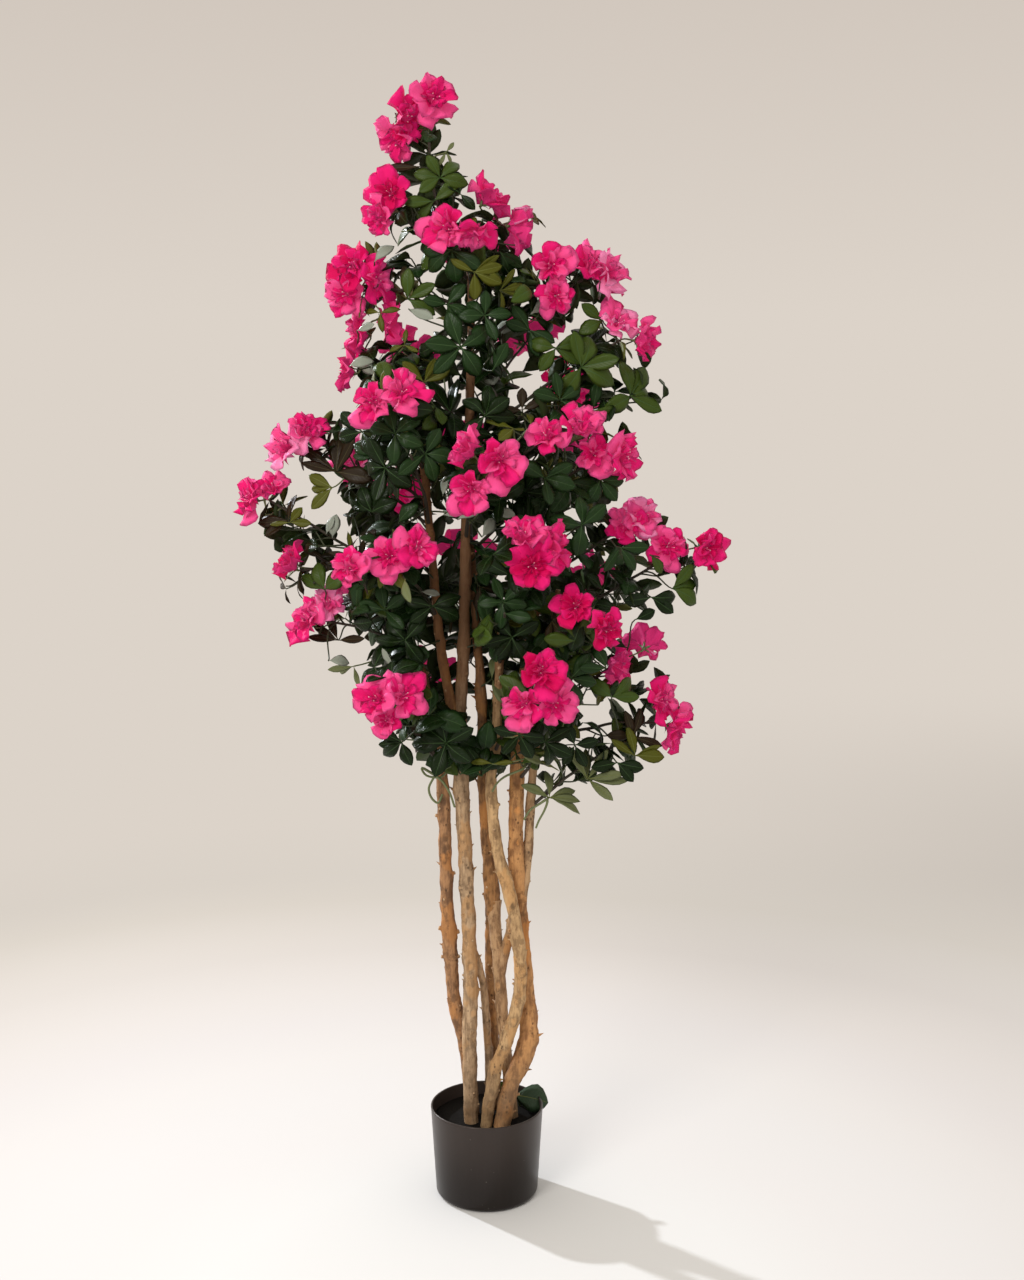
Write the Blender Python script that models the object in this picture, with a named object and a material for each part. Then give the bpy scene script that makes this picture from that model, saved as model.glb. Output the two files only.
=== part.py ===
"""Artificial azalea tree on natural wood stems in a plastic pot, for Blender 4.5.

Metres, +Z up.  The origin is the centre of the pot's flat underside, and the front of the
plant faces -Y.  The stems stand with flat cuts on the fill of the pot.  Each spray is one
solid: a twig that starts beside a stem, side shoots that end in whorls of leaves, and the
blooms at its tip.  A spray keeps to the space that lies nearer to its own twig than to any
other spray's twig, and stays clear of the wood.

Tables are in millimetres and are turned into metres where they are read.
"""

import math
import random
from collections import namedtuple

import bmesh
import bpy
import numpy as np
from mathutils import Vector
from mathutils.bvhtree import BVHTree

MM = 0.001
UP = Vector((0, 0, 1))
GAP = 0.3 * MM                     # air left between pieces that touch

# ---------------------------------------------------------------- pot

POT_HEIGHT = 128 * MM
RIM_RADIUS = 78 * MM
BASE_RADIUS = 70.5 * MM
WALL = 2.6 * MM
FLOOR = 3 * MM
CORNER = 8 * MM
FILL_TOP = 108 * MM
POT_SIDES = 32
CORNER_STEPS = 2

# ---------------------------------------------------------------- wood

WOOD_SIDES = 8
RINGS_PER_SPAN = 2
FOOT = 108.3                       # height of the stems' flat cuts, in mm
ELBOW_OUT = 1.3                    # a seated limb's first bend, in its own radii
ELBOW_RISE = 1.1

Limb = namedtuple("Limb", "name colour foot_on tip_on stations")

# stations are (x, y, z, radius) in mm; foot_on and tip_on are (limb, height in mm)
LIMBS = (
    Limb("stem_main", "wood_grey", None, None, (
        (-21, -18, FOOT, 10.2), (-23, -17, 229, 10.0), (-22, -15, 329, 9.8),
        (-26, -12, 442, 9.7), (-32, -8, 567, 9.6), (-35, -5, 670, 9.2), (-29, 0, 785, 7.6),
        (-25, 0, 971, 6.4), (-19, 0, 1114, 5.2), (-18, 0, 1228, 4.2), (-21, 0, 1291, 3.2))),
    Limb("stem_left", "wood_red", None, None, (
        (-20, 8, FOOT, 8.6), (-29, 5, 200, 8.8), (-44, 0, 280, 8.9), (-50, -4, 368, 8.7),
        (-55, -6, 469, 8.6), (-57, -6, 567, 8.3), (-65, 0, 642, 7.2), (-79, 6, 716, 5.8),
        (-101, 10, 783, 4.0))),
    Limb("stem_thin", "wood_grey", None, ("stem_main", 345), (
        (5, 8, FOOT, 6.0), (2, 8, 203, 5.8), (-2, 5, 270, 5.4), (-7, 0, 315, 5.0))),
    Limb("stem_twisted", "wood_dark", None, None, (
        (14, 27, FOOT, 6.2), (11, 24, 213, 5.8), (5, 20, 324, 7.0), (9, 17, 406, 10.6),
        (1, 15, 491, 8.2), (-4, 14, 590, 7.0), (-6, 13, 714, 6.4), (-14, 15, 809, 5.2),
        (-18, 21, 916, 3.6))),
    Limb("stem_forked", "wood_tan", None, ("stem_twisted", 392), (
        (36, 0, FOOT, 7.8), (25, -2, 223, 7.6), (19, -1, 300, 7.8), (17, 1, 345, 7.0),
        (14, 5, 368, 6.2))),
    Limb("stem_crossing", "wood_light", None, None, (
        (-1, -31, FOOT, 8.4), (10, -38, 186, 8.7), (28, -44, 240, 8.8), (46, -47, 313, 8.6),
        (43, -46, 384, 8.4), (32, -40, 445, 8.2), (15, -28, 508, 8.0), (7, -20, 590, 7.4),
        (14, -12, 657, 6.6), (19, -12, 773, 5.4), (22, -14, 841, 4.0))),
    Limb("stem_orange", "wood_orange", None, None, (
        (20, -35, FOOT, 11.0), (34, -30, 172, 11.6), (57, -24, 232, 12.8), (54, -21, 303, 11.2),
        (47, -20, 388, 11.0), (41, -14, 485, 10.4), (41, -6, 581, 10.2), (47, 2, 696, 8.4),
        (59, 8, 783, 6.4), (79, 14, 876, 4.0))),
    Limb("fork_arm", "wood_tan", ("stem_forked", 338), ("stem_orange", 400), (
        (30, -7, 362, 5.4), (31, -9, 378, 5.2))),
    Limb("bough_right", "wood_tan", ("stem_orange", 432), None, (
        (56, -6, 490, 6.6), (62, 4, 592, 6.2), (70, 10, 674, 5.6), (80, 6, 770, 4.6),
        (96, 0, 852, 3.4))),
    Limb("bough_left", "wood_orange", ("stem_main", 668), None, (
        (-52, -8, 730, 6.8), (-62, -9, 799, 6.2), (-72, -7, 919, 5.2), (-79, 0, 997, 4.4),
        (-86, 4, 1049, 3.4))),
)

# ---------------------------------------------------------------- sprays

TWIG_RADIUS = 3.0 * MM
TWIG_TIP_RADIUS = 2.5 * MM
SHOOT_ROOT_RADIUS = 1.1 * MM       # small enough to start inside the twig
SHOOT_RADIUS = 1.7 * MM
TWIG_RISE = 0.42                   # how far a twig bends up before it reaches out
TWIG_POINTS = 5
SHOOT_SPACING = 44 * MM
SHOOT_LENGTH = (38 * MM, 74 * MM)
SHOOT_SPREAD = math.radians(62)
SHOOT_TRIES = 12
BUD_RADIUS = 4 * MM
LEAVES_PER_WHORL = 5
LEAST_LEAVES = 3                   # a side shoot with fewer is left out
LEAF_LENGTH = 68 * MM
LEAF_WIDTH = 34 * MM
LEAF_SIZES = (1.0, 0.82, 0.66)     # lengths tried in turn where space is short
LEAF_WIDEST = 0.56                 # where along its length a leaf is widest
LEAF_CUP = 0.04
LEAF_DROOP = 0.05
LEAF_SPREAD = (math.radians(54), math.radians(80))
COLLAR_SPREAD = (math.radians(76), math.radians(98))   # leaves of the whorl under blooms
BLOOM_RADIUS = 37 * MM
BLOOM_PETALS = 5
BLOOM_DEPTH = 0.46                 # of the cup behind the rim, in bloom radii, as those below
HEART_SHARE = 0.55
HEART_LIFT = 0.46
HEART_DIP = 0.25
PETAL_SHARES = (1.0, 0.85, 0.7, 0.55, 0.42)
PETAL_MARGIN = 1.5 * MM
BLOOM_BACK = 24 * MM               # from the blooms back to where they spring
BLOOM_FAN = 40 * MM                # the smaller, the more blooms of a tuft look apart
SPACE_MARGIN = 5 * MM              # how much nearer its own twig a spray's points lie
WOOD_MARGIN = 3 * MM
CROWN_AXIS = Vector((-15 * MM, 0, 0))
UP_BIAS = 0.7                      # how much blooms look up and, before FRONT_LIMIT, forward
FRONT_BIAS = 0.7
FRONT_LIMIT = 50 * MM

Spray = namedtuple("Spray", "name tip blooms")

# tip is (x, y, z) in mm, blooms are their places beside the tip as (x, z) in mm
SPRAYS = (
    Spray("spray_top", (-86, 0, 1448), ((24, 32), (-11, 6), (-26, -22))),
    Spray("spray_high_left", (-124, -30, 1348), ((5, 13), (-9, -20))),
    Spray("spray_high_right", (26, 0, 1340), ((-18, 19), (18, -21))),
    Spray("spray_high_front", (-19, -80, 1308), ((10, -4), (-26, 8))),
    Spray("spray_upper_left", (-171, -20, 1251), ((2, 22), (-7, -15), (36, 5))),
    Spray("spray_upper_left_low", (-172, 10, 1172), ((50, 33), (5, 11), (-13, -36))),
    Spray("spray_left_front", (-119, -150, 1111), ((-15, -4), (21, 10))),
    Spray("spray_left_arm_high", (-249, -10, 1052), ((-13, -9), (17, 13))),
    Spray("spray_left_arm_tip", (-301, 0, 981), ((-13, -8), (19, 10))),
    Spray("spray_left_inner", (-140, 30, 1002), ((25, -24), (-30, 25))),
    Spray("spray_left_mid", (-259, -30, 892), ((0, 0),)),
    Spray("spray_front_left", (-125, -150, 917), ((-44, -15), (8, 0), (46, 14))),
    Spray("spray_left_low", (-229, -30, 825), ((-8, -7), (26, 17))),
    Spray("spray_low_left_front", (-120, -160, 736), ((-18, 4), (21, 8), (-2, -20))),
    Spray("spray_low_right_front", (65, -160, 748), ((6, 28), (-16, -15), (24, -16))),
    Spray("spray_right_low", (198, 10, 764), ((20, 15), (-20, -14))),
    Spray("spray_right_low_tip", (246, 0, 681), ((-8, 23), (10, -21))),
    Spray("spray_right_mid_front", (134, -140, 844), ((-20, 10), (21, -20))),
    Spray("spray_centre_front", (68, -175, 927), ((-21, 22), (-8, -19), (26, 4))),
    Spray("spray_right_arm", (269, 0, 910), ((-26, 0), (26, -1))),
    Spray("spray_right_arm_high", (193, 10, 940), ((-10, -3), (16, 11))),
    Spray("spray_mid_front", (-4, -170, 1027), ((25, 11), (-11, -26), (-21, 22))),
    Spray("spray_right_front_high", (96, -100, 1070), ((-18, -4), (24, 5))),
    Spray("spray_right_mid_high", (159, -60, 1038), ((-20, -1), (23, -5))),
    Spray("spray_upper_right", (88, -30, 1250), ((-4, 21), (5, -19))),
    Spray("spray_upper_right_tip", (153, 10, 1270), ((-14, 6), (12, -6))),
    Spray("spray_right_high", (192, 0, 1189), ((-17, 13), (17, -14))),
    Spray("spray_right_inner", (104, 70, 1118), ((-10, 16), (14, -16))),
    Spray("spray_leafy_low_right", (172, -20, 646), ()),
    Spray("spray_leafy_low_left", (-70, -90, 704), ()),
    Spray("spray_leafy_low_mid", (98, -80, 668), ()),
    Spray("spray_leafy_left_front", (-90, -130, 1040), ()),
    Spray("spray_leafy_high_front", (-17, -85, 1191), ()),
    Spray("spray_leafy_right_edge", (200, 10, 1110), ()),
    Spray("spray_leafy_mid_front", (26, -130, 842), ()),
    Spray("spray_back_top", (-25, 95, 1285), ((-18, 6), (20, -6))),
    Spray("spray_back_high_left", (-110, 150, 1160), ((-16, 12), (16, -12))),
    Spray("spray_back_high_right", (62, 155, 1185), ((-18, -8), (18, 10))),
    Spray("spray_back_left", (-190, 150, 1010), ((-12, 18), (12, -16))),
    Spray("spray_back_middle", (-40, 215, 1035), ((-22, 2), (20, 6))),
    Spray("spray_back_right", (132, 190, 1015), ((-16, 14), (18, -12))),
    Spray("spray_back_left_low", (-185, 165, 850), ((-18, -6), (18, 10))),
    Spray("spray_back_middle_low", (-30, 235, 872), ((-20, 10), (20, -8))),
    Spray("spray_back_right_low", (138, 195, 845), ((-14, -14), (16, 14))),
    Spray("spray_back_low_left", (-90, 165, 715), ((-18, 8), (18, -6))),
    Spray("spray_back_low_right", (62, 180, 705), ((-16, -10), (18, 8))),
)

# the tuft of leaves that stands on the fill behind the stems
TUFT_NAME = "foot_leaves"
TUFT_BASE = Vector((46, 36, FOOT)) * MM
TUFT_TIP = Vector((52, 24, 138)) * MM
TUFT_LEAF_LENGTH = 46 * MM
TUFT_TURNS = (-4, 72, 150)         # degrees round the twig, from +X
TUFT_LIFT = 0.16

# ---------------------------------------------------------------- materials

COLOURS = {
    "pot_black": (0.044, 0.036, 0.032, 1),
    "fill_black": (0.012, 0.010, 0.009, 1),
    "wood_grey": (0.40, 0.25, 0.13, 1),
    "wood_red": (0.43, 0.21, 0.10, 1),
    "wood_tan": (0.42, 0.26, 0.13, 1),
    "wood_light": (0.50, 0.31, 0.15, 1),
    "wood_orange": (0.47, 0.21, 0.07, 1),
    "wood_dark": (0.33, 0.17, 0.08, 1),
    "leaf_green": (0.012, 0.026, 0.009, 1),
    "bloom_pink": (0.65, 0.02, 0.12, 1),
}
ROUGHNESS = {"pot_black": 0.4, "leaf_green": 0.4, "bloom_pink": 0.7}
DEFAULT_ROUGHNESS = 0.85


def principled(name):
    """Make or find the material of one colour."""
    material = bpy.data.materials.get(name)
    if material is None:
        material = bpy.data.materials.new(name)
        material.use_nodes = True
        shader = material.node_tree.nodes["Principled BSDF"]
        shader.inputs["Base Color"].default_value = COLOURS[name]
        shader.inputs["Roughness"].default_value = ROUGHNESS.get(name, DEFAULT_ROUGHNESS)
        shader.inputs["Metallic"].default_value = 0.0
    return material


# ---------------------------------------------------------------- meshes

Shape = namedtuple("Shape", "points faces")


def make_object(name, shape, colour, collection=None, smooth=False):
    """Put a closed shape into the scene as one object."""
    mesh = bpy.data.meshes.new(name)
    mesh.from_pydata([tuple(p) for p in shape.points], [], shape.faces)
    mesh.materials.append(principled(colour))
    if smooth:
        mesh.shade_smooth()
        mesh.set_sharp_from_angle(angle=math.radians(50))
    piece = bpy.data.objects.new(name, mesh)
    (collection or bpy.context.scene.collection).objects.link(piece)
    return piece


def turned(profile, sides):
    """Turn (radius, height) points, listed from bottom to top of the axis, into a solid."""
    points = []
    rings = []
    for radius, height in profile:
        start = len(points)
        if radius == 0:
            points.append(Vector((0, 0, height)))
            rings.append([start] * sides)
            continue
        for k in range(sides):
            angle = math.tau * k / sides
            points.append(Vector((radius * math.cos(angle), radius * math.sin(angle), height)))
        rings.append(list(range(start, start + sides)))
    faces = []
    for low, high in zip(rings, rings[1:]):
        for k in range(sides):
            m = (k + 1) % sides
            corners = dict.fromkeys((low[k], low[m], high[m], high[k]))
            faces.append(tuple(corners))
    return Shape(points, faces)


def ring(centre, frame, radius, turns, plane=None):
    """Points round an axis; with a plane normal given they slide along the axis onto it."""
    axis, side, across = frame
    points = []
    for turn in turns:
        offset = (side * math.cos(turn) + across * math.sin(turn)) * radius
        if plane is not None:
            offset -= axis * (offset.dot(plane) / axis.dot(plane))
        points.append(centre + offset)
    return points


def frames(centres):
    """Axis, side and across directions at each centre, carried along without twist."""
    last = len(centres) - 1
    side = None
    out = []
    for k in range(len(centres)):
        axis = (centres[min(k + 1, last)] - centres[max(k - 1, 0)]).normalized()
        if side is None:
            side = axis.orthogonal() if abs(axis.z) < 0.5 else Vector((1, 0, 0))
        side = (side - axis * side.dot(axis)).normalized()
        out.append((axis, side, axis.cross(side)))
    return out


def tube_wall(stations, turns, foot_plane=None, tip_plane=None):
    """Rings of points and wall faces of a tapering limb, closed at its foot."""
    count = len(turns)
    last = len(stations) - 1
    points = []
    for k, (frame, (centre, radius)) in enumerate(zip(frames([s[0] for s in stations]), stations)):
        plane = foot_plane if k == 0 else tip_plane if k == last else None
        points += ring(centre, frame, radius, turns, plane)
    faces = [tuple(reversed(range(count)))]
    for k in range(last):
        low = k * count
        for m in range(count):
            n = (m + 1) % count
            faces.append((low + m, low + n, low + count + n, low + count + m))
    return points, faces


def tube(stations, foot_plane=None, tip_plane=None):
    """A tapering limb through (point, radius) stations, closed by flat ends."""
    turns = [math.tau * (k + 0.5) / WOOD_SIDES for k in range(WOOD_SIDES)]
    points, faces = tube_wall(stations, turns, foot_plane, tip_plane)
    faces.append(tuple(range(len(points) - WOOD_SIDES, len(points))))
    return Shape(points, faces)


def smooth_stations(stations, steps):
    """Catmull-Rom points between the stations, with the radius carried along."""
    values = [Vector((*point, radius)) for point, radius in stations]
    values = [values[0] * 2 - values[1]] + values + [values[-1] * 2 - values[-2]]
    out = []
    for a, b, c, d in zip(values, values[1:], values[2:], values[3:]):
        for k in range(steps):
            t = k / steps
            value = 0.5 * (2 * b + (c - a) * t + (2 * a - 5 * b + 4 * c - d) * t * t
                           + (3 * b - a - 3 * c + d) * t * t * t)
            out.append((Vector(value[:3]), value[3]))
    out.append((Vector(values[-2][:3]), values[-2][3]))
    return out


# ---------------------------------------------------------------- pot and fill

def wall_radius(height):
    """Outer radius of the pot's wall at a height."""
    return BASE_RADIUS + (RIM_RADIUS - BASE_RADIUS) * height / POT_HEIGHT


def corner_arc(radius, height, size):
    """A quarter circle from the underside up to the wall."""
    arc = []
    for k in range(CORNER_STEPS + 1):
        angle = math.pi / 2 * k / CORNER_STEPS
        arc.append((radius - size + size * math.sin(angle), height + size - size * math.cos(angle)))
    return arc


def make_pot():
    """Open shell: underside, rounded corner, flared wall, thin rim and the inside."""
    lip = WALL / 2
    profile = [(0, 0)]
    profile += corner_arc(wall_radius(CORNER), 0, CORNER)
    profile.append((RIM_RADIUS, POT_HEIGHT - lip))
    profile.append((RIM_RADIUS - lip, POT_HEIGHT))
    profile.append((RIM_RADIUS - WALL, POT_HEIGHT - lip))
    inner = corner_arc(wall_radius(CORNER) - WALL, FLOOR, CORNER - FLOOR / 2)
    profile += reversed(inner)
    profile.append((0, FLOOR))
    make_object("pot", turned(profile, POT_SIDES), "pot_black", smooth=True)


def make_fill():
    """The hard fill that holds the stems, just clear of the pot's inside."""
    radius = wall_radius(CORNER) - WALL - 2 * GAP
    profile = [(0, FLOOR + GAP)]
    profile += corner_arc(radius, FLOOR + GAP, CORNER - FLOOR / 2)
    profile.append((wall_radius(FILL_TOP) - WALL - 2 * GAP, FILL_TOP))
    profile.append((0, FILL_TOP))
    make_object("fill", turned(profile, POT_SIDES), "fill_black")


# ---------------------------------------------------------------- limbs

class Wood:
    """A finished limb: its centre line, and its skin for seating what grows on it."""

    def __init__(self, stations, shape):
        self.stations = stations
        self.skin = skin_of(shape)

    def centre(self, height):
        """Centre, radius and direction at a height."""
        for (a, ra), (b, rb) in zip(self.stations, self.stations[1:]):
            if a.z <= height <= b.z:
                t = (height - a.z) / (b.z - a.z)
                return a.lerp(b, t), ra + (rb - ra) * t, (b - a).normalized()
        a, b = self.stations[-2][0], self.stations[-1][0]
        return b.copy(), self.stations[-1][1], (b - a).normalized()

    def seat(self, height, toward):
        """Point and face normal GAP clear of the skin, on the side that looks at a point."""
        centre, _, axis = self.centre(height)
        outward = toward - centre
        outward = (outward - axis * outward.dot(axis)).normalized()
        hit, normal, _, _ = self.skin.ray_cast(centre, outward)
        if normal.dot(outward) < 0:
            normal = -normal
        return hit + normal * GAP, normal


def elbow(seat, normal, radius, rise):
    """Station just off a seat, where a limb bends away from the wood that carries it."""
    return seat + normal * radius * ELBOW_OUT + UP * radius * rise, radius


def make_limbs():
    """Stems and boughs in order, so that each can be seated on one made before it."""
    woods = {}
    for limb in LIMBS:
        stations = [(Vector(row[:3]) * MM, row[3] * MM) for row in limb.stations]
        foot, tip = [], []
        foot_plane, tip_plane = UP, None
        if limb.foot_on:
            parent, height = limb.foot_on
            radius = stations[0][1]
            seat, foot_plane = woods[parent].seat(height * MM, stations[0][0])
            foot = [(seat, radius)]
            stations.insert(0, elbow(seat, foot_plane, radius, ELBOW_RISE))
        if limb.tip_on:
            parent, height = limb.tip_on
            radius = stations[-1][1]
            seat, normal = woods[parent].seat(height * MM, stations[-1][0])
            tip = [(seat, radius)]
            tip_plane = -normal
            stations.append(elbow(seat, normal, radius, -ELBOW_RISE))
        stations = foot + smooth_stations(stations, RINGS_PER_SPAN) + tip
        shape = tube(stations, foot_plane, tip_plane)
        woods[limb.name] = Wood(stations, shape)
        make_object(limb.name, shape, limb.colour, smooth=True)
    return woods


# ---------------------------------------------------------------- space shared by the sprays

def segment_distances(points, starts, ends):
    """Distance from each point to each segment, as a points x segments array."""
    run = ends - starts
    along = np.einsum("psk,sk->ps", points[:, None, :] - starts[None], run)
    share = np.clip(along / np.maximum((run * run).sum(1), 1e-12), 0, 1)
    nearest = starts[None] + share[..., None] * run[None]
    return np.linalg.norm(points[:, None, :] - nearest, axis=2)


class Space:
    """Tells whether points lie clear of the wood and inside one spray's own space."""

    def __init__(self, woods):
        rows = [(a[0], b[0], max(a[1], b[1])) for wood in woods.values()
                for a, b in zip(wood.stations, wood.stations[1:])]
        self.wood_a = np.array([row[0] for row in rows])
        self.wood_b = np.array([row[1] for row in rows])
        self.wood_r = np.array([row[2] for row in rows])
        self.twig_a = np.zeros((0, 3))
        self.twig_b = np.zeros((0, 3))
        self.owner = np.zeros(0, dtype=int)

    def add_line(self, line, owner):
        """Give a spray the space round a line."""
        self.twig_a = np.vstack((self.twig_a, np.array(line[:-1])))
        self.twig_b = np.vstack((self.twig_b, np.array(line[1:])))
        self.owner = np.concatenate((self.owner, [owner] * (len(line) - 1)))

    def wood_clearance(self, points):
        """Least distance from each point to the bark."""
        away = segment_distances(np.array(points), self.wood_a, self.wood_b) - self.wood_r
        return away.min(axis=1)

    def twig_clearance(self, points, owner):
        """Distance from each point to its own twig and to the nearest other one."""
        away = segment_distances(np.array(points), self.twig_a, self.twig_b)
        mine = self.owner == owner
        own = away[:, mine].min(axis=1) if mine.any() else np.full(len(points), np.inf)
        other = away[:, ~mine].min(axis=1) if (~mine).any() else np.full(len(points), np.inf)
        return own, other

    def allows(self, points, owner, margin=SPACE_MARGIN, wood_margin=WOOD_MARGIN):
        """True where each point is clear of wood and inside the spray's space."""
        if (self.wood_clearance(points) < wood_margin).any():
            return False
        own, other = self.twig_clearance(points, owner)
        return bool((own + margin <= other).all())


# ---------------------------------------------------------------- main twigs

ROOT_STEP = 24 * MM                # spacing of the places tried for a twig's root
ROOT_DROP = (20 * MM, 330 * MM)    # how far below its tip a twig may start
TWIG_CLEAR_OF_WOOD = 4.5 * MM
TWIG_CLEAR_OF_TWIG = 8.5 * MM
BLOOM_CLEARANCE = 34 * MM
TWIG_SLOPE = 0.75                  # favoured rise of a twig for its reach outward
SLOPE_COST = 0.8                   # what a metre off that rise costs beside a metre of length


def bloom_centres(spray):
    """World places of a spray's blooms, or of its tip where it has none."""
    tip = Vector(spray.tip) * MM
    return [tip + Vector((x, 0, z)) * MM for x, z in spray.blooms] or [tip]


def twig_line(start, outward, tip):
    """A twig that leaves the wood outward, bends up and ends at its tip."""
    reach = (tip - start).length
    control = start + (outward + UP).normalized() * reach * TWIG_RISE
    line = []
    for k in range(TWIG_POINTS):
        t = k / (TWIG_POINTS - 1)
        line.append(start * (1 - t) ** 2 + control * (2 * t * (1 - t)) + tip * t * t)
    return line


def twig_tip(spray):
    """Where the main twig ends: behind the blooms, toward the crown's axis and down."""
    tip = Vector(spray.tip) * MM
    if not spray.blooms:
        return tip
    return tip - facing(tip) * BLOOM_BACK


def facing(place):
    """The way a bloom at a place looks: outward, up and a little to the front."""
    outward = place - CROWN_AXIS
    outward.z = 0
    outward = outward / max(outward.length, 0.09)
    front = FRONT_BIAS if place.y < FRONT_LIMIT else 0.0
    return (outward + Vector((0, -front, UP_BIAS))).normalized()


def route_twigs(woods, space):
    """Choose for each spray a short, well sloped and clear twig from the wood to its tip."""
    blooms = [(bloom, k) for k, spray in enumerate(SPRAYS) for bloom in bloom_centres(spray)]
    bloom_points = np.array([tuple(bloom) for bloom, _ in blooms])
    bloom_owner = np.array([owner for _, owner in blooms])
    roots = []
    for owner, spray in enumerate(SPRAYS):
        tip = twig_tip(spray)
        best = None
        for name, wood in woods.items():
            low, high = wood.stations[0][0].z, wood.stations[-1][0].z
            count = int((high - low) / ROOT_STEP)
            for k in range(count + 1):
                height = low + (high - low) * (k + 0.5) / (count + 1)
                drop = tip.z - height
                if not ROOT_DROP[0] < drop < ROOT_DROP[1]:
                    continue
                centre, radius, axis = wood.centre(height)
                outward = tip - centre
                outward = (outward - axis * outward.dot(axis)).normalized()
                line = twig_line(centre + outward * radius, outward, tip)
                reach = (tip - centre).xy.length
                cost = (tip - line[0]).length + SLOPE_COST * abs(drop - TWIG_SLOPE * reach)
                if best and cost >= best[0]:
                    continue
                fine = [a.lerp(b, t) for a, b in zip(line, line[1:]) for t in (0.25, 0.6, 1.0)]
                if space.wood_clearance(fine[1:]).min() < TWIG_CLEAR_OF_WOOD:
                    continue
                if space.twig_clearance(fine, owner)[1].min() < TWIG_CLEAR_OF_TWIG:
                    continue
                others = bloom_points[bloom_owner != owner]
                away = np.linalg.norm(np.array(fine)[:, None] - others[None], axis=2)
                if away.min() < BLOOM_CLEARANCE:
                    continue
                best = (cost, name, height, line)
        if best is None:
            raise ValueError("no clear twig for " + spray.name)
        roots.append(best[1:])
        space.add_line(best[3], owner)
    for owner, spray in enumerate(SPRAYS):
        for bloom in bloom_centres(spray) if spray.blooms else ():
            space.add_line([roots[owner][2][-1], bloom], owner)
    return roots


# ---------------------------------------------------------------- leaves and blooms

def leaf_outline(root, along, normal, length):
    """Right edge, tip and left edge of a leaf that cups up and droops at its tip."""
    across = along.cross(normal).normalized()
    half = LEAF_WIDTH / 2 * length / LEAF_LENGTH
    middle = root + along * length * LEAF_WIDEST + normal * length * LEAF_CUP
    tip = root + along * length - normal * length * LEAF_DROOP
    return [middle + across * half, tip, middle - across * half]


def stalked_rim(stations, turns, rim_points, foot_plane=None):
    """Points and faces of a three-sided twig that flares out to a rim, left open on top.

    rim_points holds, for each turn, the points that follow each other round the rim there.
    """
    count = len(turns)
    owner = [k * 3 // count for k in range(count)]
    corners = [sum(t for t, o in zip(turns, owner) if o == c) / owner.count(c) for c in range(3)]
    points, faces = tube_wall(stations, corners, foot_plane)
    low = len(points) - 3
    rim = []
    for corner, group in zip(owner, rim_points):
        for point in group:
            rim.append((len(points), corner))
            points.append(point)
    for (a, corner), (b, next_corner) in zip(rim, rim[1:] + rim[:1]):
        faces.append((low + corner, b, a))
        if next_corner != corner:
            faces.append((b, low + corner, low + next_corner))
    return points, faces, [index for index, _ in rim]


def stalked_whorl(stations, turns, outlines, foot_plane=None):
    """A twig that opens into a star of leaves, eight faces to a leaf, as one closed shape."""
    root = stations[-1][0]
    axis, side, across = frames([s[0] for s in stations])[-1]
    groups = []
    for turn, outline in zip(turns, outlines):
        valley = turn - math.pi / len(turns)
        spoke = side * math.cos(valley) + across * math.sin(valley)
        groups.append([root + (spoke + axis * 0.4) * BUD_RADIUS] + outline)
    points, faces, rim = stalked_rim(stations, turns, groups, foot_plane)
    top = len(points)
    points.append(root + axis * BUD_RADIUS)
    for a, b in zip(rim, rim[1:] + rim[:1]):
        faces.append((top, a, b))
    return Shape(points, faces)


def stalked_bloom(stalk, centre, look, start, free):
    """Double bloom as a ruffled cup on its stalk; a petal is drawn in where space ends."""
    neck = centre - look * BLOOM_RADIUS * BLOOM_DEPTH
    stations = [(stalk, SHOOT_ROOT_RADIUS), (neck - look * 2 * MM, SHOOT_RADIUS)]
    stations.append((neck, SHOOT_RADIUS * 1.5))
    axis, side, across = frames([s[0] for s in stations])[-1]
    side = (side - look * side.dot(look)).normalized()
    across = look.cross(side)
    rim_count = 2 * BLOOM_PETALS
    turns = [start + math.tau * k / rim_count for k in range(rim_count)]
    groups = []
    for k, turn in enumerate(turns):
        reach = BLOOM_RADIUS * (1.0 if k % 2 else 0.88)
        lift = BLOOM_RADIUS * (0.02 if k % 2 else 0.24)
        spoke = side * math.cos(turn) + across * math.sin(turn)
        for share in PETAL_SHARES:
            point = centre + spoke * reach * share + look * lift
            if free(point):
                break
        groups.append([point])
    points, faces, rim = stalked_rim(stations, turns, groups)
    inner = len(points)
    for k in range(BLOOM_PETALS):
        turn = start + math.tau * (k + 0.25) / BLOOM_PETALS
        spoke = side * math.cos(turn) + across * math.sin(turn)
        points.append(centre + (spoke * HEART_SHARE + look * HEART_LIFT) * BLOOM_RADIUS)
    heart = len(points)
    points.append(centre + look * BLOOM_RADIUS * HEART_DIP)
    for k, (a, b) in enumerate(zip(rim, rim[1:] + rim[:1])):
        petal = inner + k // 2
        faces.append((a, b, petal))
        if k % 2:
            after = inner + (k // 2 + 1) % BLOOM_PETALS
            faces.append((b, after, petal))
            faces.append((petal, after, heart))
    return Shape(points, faces)


# ---------------------------------------------------------------- growing a spray

def spread_round(axis, turn, angle):
    """Direction that leaves an axis by an angle, turned round it."""
    side = axis.orthogonal().normalized()
    radial = side * math.cos(turn) + axis.cross(side) * math.sin(turn)
    return (axis * math.cos(angle) + radial * math.sin(angle)).normalized()


def overlaps(outline, taken):
    """True where an outline, read as a fan of triangles, cuts a shape that stands."""
    fan = [(0, k, k + 1) for k in range(1, len(outline) - 1)]
    patch = BVHTree.FromPolygons([tuple(p) for p in outline], fan)
    return any(patch.overlap(tree) for tree in taken)


def skin_of(shape):
    """Search tree of a shape's faces."""
    return BVHTree.FromPolygons([tuple(p) for p in shape.points], shape.faces)


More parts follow.
